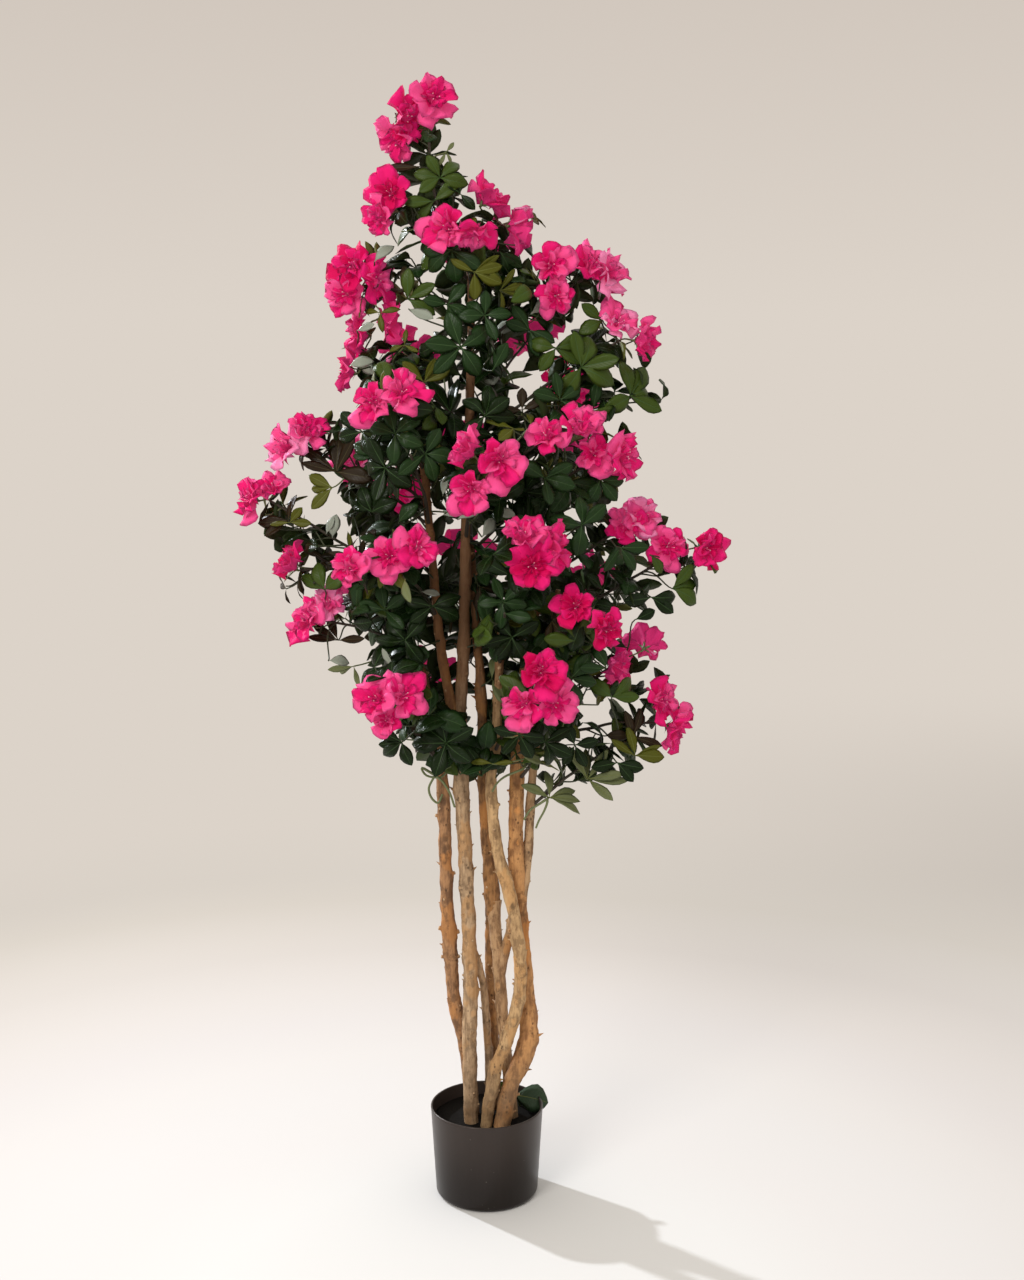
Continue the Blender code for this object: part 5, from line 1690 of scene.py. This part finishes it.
KNOT_SIZES = (2.4 * MM, 5.2 * MM)
KNOT_ROOM = 6 * MM
KNOT_REACH = 2.4  # how far a knot shapes the bark, in its own size
STUB_SCAR = 0.15
BARK, CUT = 0, 1  # parts of a limb's mesh, and its material slots
KNOT_KINDS = (("scar", "stub", "thorn", "dent"), (4, 22, 52, 22))
# lumps of the bark: scale, side of the noise and height in the limb's radius
LUMPS = ((34, 1, 0.17), (95, -1, 0.09), (240, -1, 0.035))
BARK_SIDES = 34
BARK_STEP = 1.9 * MM
FLARE = 1.22  # how much wider a seated end is than the limb
FLARE_LENGTH = 9 * MM

# base colours of the light and the dark fibres and of the warm patches
WOOD_COLOURS = {
    "wood_grey": ((0.50, 0.34, 0.20), (0.26, 0.165, 0.090), (0.46, 0.25, 0.10)),
    "wood_red": ((0.38, 0.200, 0.092), (0.17, 0.082, 0.038), (0.47, 0.205, 0.062)),
    "wood_tan": ((0.45, 0.285, 0.15), (0.23, 0.125, 0.058), (0.48, 0.24, 0.080)),
    "wood_dark": ((0.36, 0.185, 0.070), (0.15, 0.070, 0.026), (0.50, 0.22, 0.060)),
    "wood_light": ((0.52, 0.335, 0.165), (0.28, 0.165, 0.076), (0.54, 0.29, 0.11)),
    "wood_orange": ((0.52, 0.265, 0.100), (0.27, 0.118, 0.042), (0.60, 0.245, 0.062)),
}
ROOT_BACK = 26 * MM  # how far down its parent a grown limb's bark starts


def bark_path(limb, woods):
    """Fine stations of the bark; a limb that meets another one runs on into its middle."""
    path = limb_stations(limb)
    if limb.foot_on:
        middle, _, axis = woods[limb.foot_on[0]].centre(limb.foot_on[1] * MM)
        path.insert(0, (middle - axis * ROOT_BACK, path[0][1]))
    if limb.tip_on:
        middle, _, axis = woods[limb.tip_on[0]].centre(limb.tip_on[1] * MM)
        path.append((middle + axis * ROOT_BACK, path[-1][1]))
    return smooth_stations(path, 6)


def bark_rings(stations):
    """Evenly spaced (centre, radius) rings along a limb."""
    out = []
    for (a, ra), (b, rb) in zip(stations, stations[1:]):
        count = max(1, round((b - a).length / BARK_STEP))
        out += [(a.lerp(b, k / count), ra + (rb - ra) * k / count) for k in range(count)]
    out.append(stations[-1])
    smooth = [out[0]]
    for before, here, after in zip(out, out[1:], out[2:]):
        smooth.append(((before[0] + here[0] * 2 + after[0]) / 4, here[1]))
    return smooth + [out[-1]]


def round_from_front(axis, around):
    """The way out of a limb at a turn from the front toward +X."""
    return square_to(axis, Vector((math.sin(around), -math.cos(around), 0)))


def bark_knots(limb, rings, rng):
    """The limb's marks as (kind, ring, turn, size): the chosen ones, then random ones between."""
    knots = []
    for kind, height, turn, size in KNOTS.get(limb.name, ()):
        at = min(range(len(rings)), key=lambda k: abs(rings[k][0].z - height * MM))
        knots.append((kind, at, math.radians(turn), size * MM))
    along = rng.uniform(*KNOT_GAP) * 0.6
    while along < BARK_STEP * len(rings) - KNOT_END:
        at = min(int(along / BARK_STEP), len(rings) - 1)
        size = rng.uniform(*KNOT_SIZES)
        if all(abs(knot[1] - at) * BARK_STEP > KNOT_ROOM for knot in knots):
            knots.append((rng.choices(*KNOT_KINDS)[0], at, rng.uniform(0, math.tau), size))
        along += rng.uniform(*KNOT_GAP)
    return knots


def knot_relief(kind, size, away, turn, at):
    """How far a mark lifts the bark, and how scarred and how pale it makes it."""
    ridge = math.exp(-((away - 1) / 0.34) ** 2)
    ridge *= 0.35 + 0.65 * math.cos(turn * 2 + at) ** 2
    inside = 1 / (1 + math.exp((away - 0.72) * 12))
    if kind == "scar":
        return size * (0.16 * ridge - 0.12 * inside), ridge * 0.75, inside * 0.45
    if kind == "dent":
        return -(size * 0.20 * inside), inside * 0.7, 0.0
    return size * 0.42 * math.exp(-(away / 1.2) ** 2), ridge * 0.3, 0.0


def add_stub(sheet, kind, size, ring, axis, around, rng):
    """A cut stub, or a thorn that bends toward the limb's tip."""
    centre, radius = ring
    out = round_from_front(axis, around)
    way = (out + axis * rng.uniform(0.15, 0.6)).normalized()
    foot = centre + out * radius * 0.55
    if kind == "stub":
        reach = radius * 0.45 + size * rng.uniform(0.5, 1.0)
        stations = [(foot, size * 0.62), (foot + way * reach * 0.6, size * 0.50),
                    (foot + way * reach, size * 0.46)]
        sheet.tube(stations, 9, BARK, CUT)
    else:
        reach = radius * 0.45 + size * rng.uniform(1.1, 1.9)
        bent = (way + axis * 0.5).normalized()
        stations = [(foot, size * 0.75), (foot + way * reach * 0.45, size * 0.46),
                    (foot + way * reach * 0.8 + bent * reach * 0.25, size * 0.06)]
        sheet.tube(stations, 8, BARK)


def bark_sheet(limb, woods):
    """A limb with fibres, lumps, knots and cut stubs, and its scar and heart shades."""
    rng = random.Random("azalea bark " + limb.name)
    rings = bark_rings(bark_path(limb, woods))
    axes = frames([centre for centre, _ in rings])
    knots = bark_knots(limb, rings, rng)
    grain = astray(rng, 50)
    sheet = Sheet()
    scars, hearts, rows = [], [], []
    for k, ((centre, radius), (axis, side, across)) in enumerate(zip(rings, axes)):
        flare = 0.0
        for rings_away, seated in ((k, limb.foot_on), (len(rings) - 1 - k, limb.tip_on)):
            if seated:
                flare += math.exp(-rings_away * BARK_STEP / FLARE_LENGTH)
        radius *= 1 + (FLARE - 1) * min(flare, 1)
        near = [knot for knot in knots if abs(knot[1] - k) * BARK_STEP < 3 * knot[3] + 3 * MM]
        row = []
        for m in range(BARK_SIDES):
            turn = math.tau * m / BARK_SIDES
            out = turned(side, across, turn)
            spot = centre + out * radius
            lump = sum(noise.noise(spot * scale + grain * side_of) * height * radius
                       for scale, side_of, height in LUMPS)
            fibre = noise.noise(Vector((math.cos(turn) * 5, math.sin(turn) * 5, k * 0.05)) + grain)
            fine = noise.noise(Vector((spot.x * 500, spot.y * 500, spot.z * 160)) + grain)
            swell = lump + fibre * 0.045 * radius + fine * 0.10 * MM
            scar = heart = 0.0
            for kind, at, around, size in near:
                cosine = out.dot(round_from_front(axis, around))
                apart = math.acos(max(-1, min(1, cosine))) * radius
                away = math.hypot((k - at) * BARK_STEP / 1.6, apart) / size
                away += noise.noise(spot * 260 + grain) * 0.45
                if away <= KNOT_REACH:
                    lift, dark, pale = knot_relief(kind, size, away, turn, at)
                    swell += lift
                    scar, heart = max(scar, dark), max(heart, pale)
            row.append(sheet.add(centre + out * (radius + swell)))
            scars.append(scar)
            hearts.append(heart)
        if rows:
            sheet.skin_strip(rows[-1], row, BARK)
        rows.append(row)
    sheet.face(rows[0][::-1], CUT)
    sheet.face(rows[-1], CUT)
    for kind, at, around, size in knots:
        if kind in ("stub", "thorn"):
            add_stub(sheet, kind, size, rings[at], axes[at][0], around, rng)
    missing = len(sheet.points) - len(scars)
    return sheet, scars + [STUB_SCAR] * missing, hearts + [0.0] * missing


# ---- pot and fill

WALL = 2.6 * MM
FLOOR_THICKNESS = 3 * MM
CORNER = 8 * MM
FILL_TOP = 108 * MM


def ring(sheet, radius, height, sides):
    """A row of points round +Z."""
    return [sheet.add((radius * math.cos(math.tau * k / sides),
                       radius * math.sin(math.tau * k / sides), height)) for k in range(sides)]


def turned_sheet(profile, sides):
    """A body turned round +Z; its profile runs from the axis underneath, out, up and in."""
    sheet = Sheet()
    rows = []
    for radius, height in profile:
        if radius == 0:
            rows.append([sheet.add((0, 0, height))])
        else:
            rows.append(ring(sheet, radius, height, sides))
    for low, high in zip(rows, rows[1:]):
        for k in range(sides):
            n = (k + 1) % sides
            if len(low) == 1:
                sheet.face((low[0], high[n], high[k]), 0)
            elif len(high) == 1:
                sheet.face((low[k], low[n], high[0]), 0)
            else:
                sheet.face((low[k], low[n], high[n], high[k]), 0)
    return sheet


def arc(centre, radius, start, end, steps):
    """Profile points on part of a circle, in degrees from straight out."""
    out = []
    for k in range(steps + 1):
        angle = math.radians(start + (end - start) * k / steps)
        out.append((centre[0] + radius * math.cos(angle), centre[1] + radius * math.sin(angle)))
    return out


# ---- settings

POT_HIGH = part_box("pot")[1]


def metres(name, description, default):
    """A length that the user can change."""
    return FloatProperty(name=name, description=description, default=default, unit="LENGTH")


class PotSettings(bpy.types.PropertyGroup):
    """The pot and what fills it."""

    rim_radius: metres("Rim radius", "Outer radius of the pot's rim", POT_HIGH.x)
    base_radius: metres("Base radius", "Outer radius the wall would have at the floor",
                        70.5 * MM)
    height: metres("Height", "From the floor to the rim", POT_HIGH.z)
    sides: IntProperty(name="Sides", description="Facets round the pot", default=112, min=12)
    colour: FloatVectorProperty(
        name="Plastic", description="Base colour of the pot", subtype="COLOR", size=3,
        default=(0.0105, 0.0080, 0.0070))
    dust: FloatProperty(
        name="Dust", description="How strongly dust specks show", default=0.7, min=0, max=1,
        subtype="FACTOR")


class PlantSettings(bpy.types.PropertyGroup):
    """Bark, wires, leaves and blooms, beside their usual tone and size."""

    bark_tone: FloatProperty(
        name="Bark tone", description="Makes all bark lighter or darker", default=1.0, min=0.2,
        max=3)
    wire_sides: IntProperty(name="Wire sides", description="Facets round a wire", default=6, min=3)
    wire_thickness: FloatProperty(
        name="Wire thickness", description="Thickness of the wires", default=1.0, min=0.2)
    leaf_size: FloatProperty(
        name="Leaf size", description="Length of the leaves", default=1.0, min=0.2)
    bloom_size: FloatProperty(
        name="Bloom size", description="Width of the blooms", default=1.0, min=0.2)


class StageSettings(bpy.types.PropertyGroup):
    """Floor, light and camera."""

    floor_radius: metres("Floor radius", "Radius of the floor", 13.0)
    camera_height: metres("Camera height", "Height of the camera over the floor", float(EYE[2]))
    camera_distance: metres("Camera distance", "From the camera to the pot's axis",
                            -float(EYE[1]))
    camera_side: metres("Camera side", "How far the camera stands to +X", float(EYE[0]))
    camera_pitch: FloatProperty(
        name="Camera pitch", description="How far the camera looks down",
        default=math.radians(10.3), subtype="ANGLE")
    focal_length: FloatProperty(
        name="Focal length", description="In mm, on a 36 mm long side", default=50.625)
    key_power: FloatProperty(
        name="Key light", description="Power of the lamp that throws the shadow",
        default=250.0, unit="POWER")
    fill_power: FloatProperty(
        name="Fill light", description="Power of the soft light in front", default=64.0,
        unit="POWER")


class AzaleaSettings(bpy.types.PropertyGroup):
    """All settings of the azalea tree."""

    pot: PointerProperty(type=PotSettings, name="Pot", description="Pot and fill")
    plant: PointerProperty(type=PlantSettings, name="Plant", description="What grows")
    stage: PointerProperty(type=StageSettings, name="Stage", description="Floor and light")


# ---- operators

def wall_radius(pot, height):
    """Outer radius of the pot's wall at a height."""
    return pot.base_radius + (pot.rim_radius - pot.base_radius) * height / pot.height


class AZALEA_OT_make_pot(bpy.types.Operator):
    """Turn the pot's thin shell"""

    bl_idname = "azalea.make_pot"
    bl_label = "Make pot"

    def execute(self, context):
        pot = context.scene.azalea.pot
        lip = WALL / 2
        low = wall_radius(pot, CORNER)
        profile = [(0, 1.2 * MM), (low - 2.0 * CORNER, 1.2 * MM), (low - 1.8 * CORNER, 0)]
        profile += arc((low - CORNER, CORNER), CORNER, -90, 0, 8)
        profile.append((wall_radius(pot, pot.height * 0.5), pot.height * 0.5))
        profile.append((wall_radius(pot, pot.height - 3 * lip), pot.height - 3 * lip))
        profile += arc((pot.rim_radius - lip, pot.height - lip), lip, 0, 180, 6)
        inside = arc((low - WALL - CORNER * 0.8, FLOOR_THICKNESS + CORNER * 0.8), CORNER * 0.8,
                     -90, 0, 4)
        profile += inside[::-1]
        profile.append((0, FLOOR_THICKNESS))
        mesh = turned_sheet(profile, pot.sides).mesh("pot_shell")
        mesh.materials.append(plastic_material("pot_plastic", pot.colour, pot.dust))
        finished("pot_shell", mesh, ["pot"])
        return {"FINISHED"}


class AZALEA_OT_make_fill(bpy.types.Operator):
    """Pour the dark fill, a little uneven on top and drawn up round the stems"""

    bl_idname = "azalea.make_fill"
    bl_label = "Make fill"

    def execute(self, context):
        pot = context.scene.azalea.pot
        radius = wall_radius(pot, FILL_TOP) - WALL - 2 * GAP
        low = wall_radius(pot, CORNER) - WALL - 2 * GAP
        floor_top = FLOOR_THICKNESS + GAP
        profile = [(0, floor_top)]
        profile += arc((low - CORNER * 0.8, floor_top + CORNER * 0.8), CORNER * 0.8, -90, 0, 4)
        rings = 22
        profile += [(radius * (rings - k) / rings, FILL_TOP) for k in range(rings)]
        profile.append((0, FILL_TOP))
        sheet = turned_sheet(profile, pot.sides)
        feet = [mm(limb.stations[0][:2]) for limb in LIMBS if not limb.foot_on]
        points = []
        for x, y, z in sheet.points:
            if z > FILL_TOP - GAP:
                spot = Vector((x, y))
                near = min((spot - foot).length for foot in feet)
                rim = math.hypot(x, y) / radius
                z += noise.noise(Vector((x * 60, y * 60, 3))) * 1.1 * MM
                z += noise.noise(Vector((x * 260, y * 260, 9))) * 0.5 * MM
                z += 1.6 * MM * math.exp(-((near - 11 * MM) / (6 * MM)) ** 2)
                z += 1.2 * MM * max(0, rim - 0.93) / 0.07
            points.append((x, y, z))
        sheet.points = points
        mesh = sheet.mesh("set_fill")
        mesh.materials.append(fill_material())
        finished("set_fill", mesh, ["fill"])
        return {"FINISHED"}


class AZALEA_OT_make_stems(bpy.types.Operator):
    """Grow the bark of every stem and bough, with its knots and cut stubs"""

    bl_idname = "azalea.make_stems"
    bl_label = "Make stems"

    def execute(self, context):
        tone = context.scene.azalea.plant.bark_tone
        woods = plan_limbs()
        cut = cut_wood_material()
        barks = {}
        for limb in LIMBS:
            if limb.colour not in barks:
                shades = [shaded(colour, tone)[:3] for colour in WOOD_COLOURS[limb.colour]]
                barks[limb.colour] = bark_material(limb.colour.replace("wood", "bark"), *shades)
            sheet, scars, hearts = bark_sheet(limb, woods)
            name = "bark_" + limb.name
            mesh = sheet.mesh(name)
            put_attribute(mesh, "scar", "FLOAT", "POINT", scars)
            put_attribute(mesh, "heart", "FLOAT", "POINT", hearts)
            mesh.materials.append(barks[limb.colour])
            mesh.materials.append(cut)
            mesh.polygons.foreach_set("material_index", np.array(sheet.parts, dtype=np.int32))
            finished(name, mesh, [limb.name])
        return {"FINISHED"}


class AZALEA_OT_make_twigs(bpy.types.Operator):
    """Draw the wires of twigs, shoots and flower stalks"""

    bl_idname = "azalea.make_twigs"
    bl_label = "Make twigs"

    def execute(self, context):
        plant = context.scene.azalea.plant
        mesh = wired("twigs", grow_plant().twigs, plant.wire_sides, plant.wire_thickness)
        finished("twigs", mesh, [spray.name for spray in SPRAYS])
        return {"FINISHED"}


def leaf_finishes():
    """The material of each leaf part in each tint, by key number."""
    return {tint * LEAF_PARTS + part: finish(name)
            for tint, names in enumerate(LEAF_FINISHES) for part, name in enumerate(names)}


def dress_crown(kind, placed, forms, parts, finishes, size, sprays):
    """A front and a back piece of all that is placed, each in place of its own sprays."""
    for half, behind in (("front", False), ("back", True)):
        name = f"{kind}_{half}"
        here = [item for item in placed if item.back == behind]
        mesh = scattered(name, here, forms, parts, finishes, size)
        finished(name, mesh, [s.name for s in sprays if at_back(s) == behind])


class AZALEA_OT_make_leaves(bpy.types.Operator):
    """Put every leaf on its shoot"""

    bl_idname = "azalea.make_leaves"
    bl_label = "Make leaves"

    def execute(self, context):
        forms = [leaf_form(shape) for shape in LEAF_SHAPES]
        dress_crown("leaves", grow_plant().leaves, forms, LEAF_PARTS, leaf_finishes(),
                    context.scene.azalea.plant.leaf_size, SPRAYS)
        return {"FINISHED"}


class AZALEA_OT_make_blooms(bpy.types.Operator):
    """Put every bloom on its stalk"""

    bl_idname = "azalea.make_blooms"
    bl_label = "Make blooms"

    def execute(self, context):
        finishes = {}
        for tint, names in enumerate(PETAL_FINISHES):
            for part, name in enumerate(names + HEART_FINISHES):
                finishes[tint * BLOOM_PARTS + part] = finish(name)
        forms = [bloom_form(seed) for seed in range(BLOOM_FORMS)]
        dress_crown("blooms", grow_plant().blooms, forms, BLOOM_PARTS, finishes,
                    context.scene.azalea.plant.bloom_size, [s for s in SPRAYS if s.blooms])
        return {"FINISHED"}


FOOT_TWIG = ((46, 36, 108.3), (43, 33, 120), (37, 24, 130))
FOOT_TWIG_RADII = (1.8 * MM, 1.2 * MM)
# leaves of the tuft: the way of the leaf, its upper side, length in mm, form and tint
FOOT_LEAVES = (
    ((1, -0.12, -0.12), (0.05, -0.72, 0.7), 52, 7, 7),
    ((0.9, -0.05, -0.45), (-0.1, -0.8, 0.5), 34, 0, 1),
    ((-0.9, 0.2, 0.6), (0, -0.8, 0.5), 28, 2, 2),
)


class AZALEA_OT_make_foot_leaves(bpy.types.Operator):
    """Stand the short tuft of leaves at the foot of the stems"""

    bl_idname = "azalea.make_foot_leaves"
    bl_label = "Make foot leaves"

    def execute(self, context):
        points = [mm(p) for p in FOOT_TWIG]
        placed = []
        for along, upper, length, form, tint in FOOT_LEAVES:
            turn = turn_to(Vector(along), Vector(upper), 0.0)
            placed.append(Placed(points[-1], turn, length * MM, form, tint, False))
        mesh = scattered("foot_tuft", placed, [leaf_form(s) for s in LEAF_SHAPES], LEAF_PARTS,
                         leaf_finishes(), 1.0)
        finished("foot_tuft", mesh, ["foot_leaves"])
        fine = smooth_line(points, 4)
        twig = Twig(fine, tapered(FOOT_TWIG_RADII, len(fine)), 1)
        finished("foot_twig", wired("foot_twig", [twig], 8, 1.0), ["foot_leaves"])
        return {"FINISHED"}


# ---- stage

# painted pool of light: colour of the lit floor by distance in metres behind its middle or beside
# it, lightest near the plant
FLOOR_MIDDLE = (0.0, -0.3)
FLOOR_STOPS = (
    (0.35, (252, 251, 250)), (0.50, (249, 246, 245)), (0.65, (246, 243, 242)),
    (0.80, (243, 239, 237)), (0.95, (237, 232, 230)), (1.10, (232, 226, 222)),
    (1.30, (222, 215, 209)), (1.60, (217, 209, 199)), (2.20, (220, 211, 201)),
)
FLOOR_SIDES, FLOOR_RINGS = 96, (0.6, 1.2, 2.0, 4.0, 8.0)
FLOOR_REACH = 2.4
FLOOR_NEAR = 0.3  # share at which distance before the middle counts
GLOW_MIDDLE = (-0.15, 0.0)
FLOOR_GLOW = (0.9, 1.5)  # where the floor turns from lit to glowing by itself
FLOOR_ALBEDO = 0.67
FLOOR_LIGHT_SLOPE = 0.025  # painted light: how much lighter the lit floor's colour grows a metre to the right
SIDE_SHADE = 0.14  # how much less the far floor gives a metre to the right
SHADE_NEAR = (0.6, 1.5)  # how far behind the middle that sets in
SHADE_FAR = (1.0, 3.5)  # and how far behind it fades
SHADE_WIDTH = 1.6

# colour of the air round the stage by height of the direction
SKY_STOPS = (
    (0.0, (0.716, 0.651, 0.584)), (0.17, (0.638, 0.571, 0.509)), (0.30, (0.60, 0.53, 0.47)),
    (0.45, (0.70, 0.65, 0.60)), (0.60, (0.95, 0.91, 0.84)), (1.0, (1.08, 1.04, 0.96)),
)
KEY_PLACE = (-0.679, 0.554, 0.482)  # direction of the key lamp from the plant
KEY_TARGET = Vector((0, 0, 0.6))
KEY_DISTANCE = 5.0
KEY_SIZE = 0.16
KEY_COLOUR = (0.90, 0.94, 1.0)
FILL_PLACE = (-1.7, -2.9, 2.6)
FILL_TARGET = (0, 0, 0.7)
FILL_SIZE = 1.4
FILL_COLOUR = (1.0, 0.97, 0.92)


def linear(colour):
    """Screen colour of 0 to 255 as light."""
    return tuple((c / 255 / 12.92) if c / 255 <= 0.04045 else ((c / 255 + 0.055) / 1.055) ** 2.4
                 for c in colour)


def floor_material():
    """Pale floor, lit near the plant with a painted pool of light and painted light and shade to
    the right, and the tone of the wall far from it.
    """
    material, nodes = new_material("floor")
    place = object_coordinates(nodes)
    x = nodes.part(place, "X")
    y = nodes.part(place, "Y")
    beside, behind = x - FLOOR_MIDDLE[0], y - FLOOR_MIDDLE[1]
    behind = nodes.math("MAXIMUM", behind, behind * -FLOOR_NEAR)
    away = (beside * beside + behind * behind) ** 0.5
    # painted pool of light: the floor's colour darkens away from its middle
    tone = nodes.add("ShaderNodeValToRGB", {
        "stops": [(r / FLOOR_REACH, linear(colour)) for r, colour in FLOOR_STOPS]},
        {"Fac": away * (1 / FLOOR_REACH)})
    # painted shade: far behind the middle the floor grows darker to the right
    right = nodes.math("MINIMUM", nodes.math("MAXIMUM", x, 0.0), SHADE_WIDTH)
    shade = nodes.ramp(y, *SHADE_NEAR) * (1 - nodes.ramp(y, *SHADE_FAR)) * SIDE_SHADE
    tone = nodes.add("ShaderNodeVectorMath", {"operation": "SCALE"},
                     {0: tone, "Scale": 1 - right * shade})
    x, y = x - GLOW_MIDDLE[0], y - GLOW_MIDDLE[1]
    away = (x * x + y * y) ** 0.5
    # painted light: the lit floor grows lighter to the right
    lit = nodes.add("ShaderNodeBsdfDiffuse", None, {
        "Color": nodes.add("ShaderNodeVectorMath", {"operation": "SCALE"},
                           {0: tone, "Scale": (x * FLOOR_LIGHT_SLOPE + 1) * FLOOR_ALBEDO})})
    glow = nodes.add("ShaderNodeEmission", None, {"Color": tone, "Strength": 1.0})
    mixed = nodes.add("ShaderNodeMixShader", None, {
        0: nodes.ramp(away, *FLOOR_GLOW), 1: lit, 2: glow})
    nodes.add("ShaderNodeOutputMaterial", None, {"Surface": mixed})
    return material


def make_world():
    """Soft light from all round, brighter above."""
    world = bpy.data.worlds.new("studio_air")
    bpy.context.scene.world = world
    world.use_nodes = True
    nodes = Nodes(world.node_tree)
    way = nodes.add("ShaderNodeTexCoord")
    height = nodes.part(way, "Z")
    tone = nodes.add("ShaderNodeValToRGB", {"stops": list(SKY_STOPS)}, {"Fac": height})
    air = nodes.add("ShaderNodeBackground", None, {"Color": tone})
    nodes.add("ShaderNodeOutputWorld", None, {"Surface": air})


def add_lamp(name, place, target, power, size, colour):
    """A square soft lamp that faces a target."""
    lamp = bpy.data.lights.new(name, "AREA")
    lamp.energy = power
    lamp.size = size
    lamp.color = colour
    item = bpy.data.objects.new(name, lamp)
    bpy.context.scene.collection.objects.link(item)
    item.location = place
    item.rotation_euler = (Vector(target) - Vector(place)).to_track_quat("-Z", "Y").to_euler()


class AZALEA_OT_make_stage(bpy.types.Operator):
    """Lay the floor and set the light and the camera"""

    bl_idname = "azalea.make_stage"
    bl_label = "Make stage"

    def execute(self, context):
        stage = context.scene.azalea.stage
        sheet = Sheet()
        middle = sheet.add((0, 0, 0))
        rows = [ring(sheet, radius, 0, FLOOR_SIDES)
                for radius in (*FLOOR_RINGS, stage.floor_radius)]
        for k in range(FLOOR_SIDES):
            sheet.face((middle, rows[0][k], rows[0][(k + 1) % FLOOR_SIDES]), 0)
        for low, high in zip(rows, rows[1:]):
            sheet.skin_strip(high, low, 0)
        floor = show("floor", sheet.mesh("floor"))
        floor.data.materials.append(floor_material())
        make_world()
        key = KEY_TARGET + Vector(KEY_PLACE) * KEY_DISTANCE
        add_lamp("key", key, KEY_TARGET, stage.key_power, KEY_SIZE, KEY_COLOUR)
        add_lamp("fill", FILL_PLACE, FILL_TARGET, stage.fill_power, FILL_SIZE, FILL_COLOUR)
        lens = bpy.data.cameras.new("camera")
        lens.lens = stage.focal_length
        camera = bpy.data.objects.new("camera", lens)
        context.scene.collection.objects.link(camera)
        camera.location = (stage.camera_side, -stage.camera_distance, stage.camera_height)
        camera.rotation_euler = (math.pi / 2 - stage.camera_pitch, 0, 0)
        context.scene.camera = camera
        context.scene.view_settings.view_transform = "Standard"
        return {"FINISHED"}


# ---- add-on

class AZALEA_PT_panel(bpy.types.Panel):
    """Sidebar panel of the azalea tree"""

    bl_label = "Azalea tree"
    bl_idname = "AZALEA_PT_panel"
    bl_space_type = "VIEW_3D"
    bl_region_type = "UI"
    bl_category = "Azalea"

    def draw(self, context):
        settings = context.scene.azalea
        for operator in OPERATOR_CLASSES:
            self.layout.operator(operator.bl_idname)
        for group in (settings.pot, settings.plant, settings.stage):
            box = self.layout.box()
            for name in group.bl_rna.properties.keys():
                if name not in ("rna_type", "name"):
                    box.prop(group, name)


SETTING_CLASSES = (PotSettings, PlantSettings, StageSettings, AzaleaSettings)
OPERATOR_CLASSES = (AZALEA_OT_make_stage, AZALEA_OT_make_pot, AZALEA_OT_make_fill,
                    AZALEA_OT_make_stems, AZALEA_OT_make_foot_leaves, AZALEA_OT_make_twigs,
                    AZALEA_OT_make_leaves, AZALEA_OT_make_blooms)


def register():
    for item in SETTING_CLASSES + OPERATOR_CLASSES + (AZALEA_PT_panel,):
        bpy.utils.register_class(item)
    bpy.types.Scene.azalea = PointerProperty(type=AzaleaSettings)


def unregister():
    del bpy.types.Scene.azalea
    for item in reversed(SETTING_CLASSES + OPERATOR_CLASSES + (AZALEA_PT_panel,)):
        bpy.utils.unregister_class(item)


def main():
    """Build the stage and every piece in order."""
    register()
    bpy.ops.azalea.make_stage()
    bpy.ops.azalea.make_pot()
    bpy.ops.azalea.make_fill()
    bpy.ops.azalea.make_stems()
    bpy.ops.azalea.make_foot_leaves()
    bpy.ops.azalea.make_twigs()
    bpy.ops.azalea.make_leaves()
    bpy.ops.azalea.make_blooms()


if __name__ == "__main__":
    main()
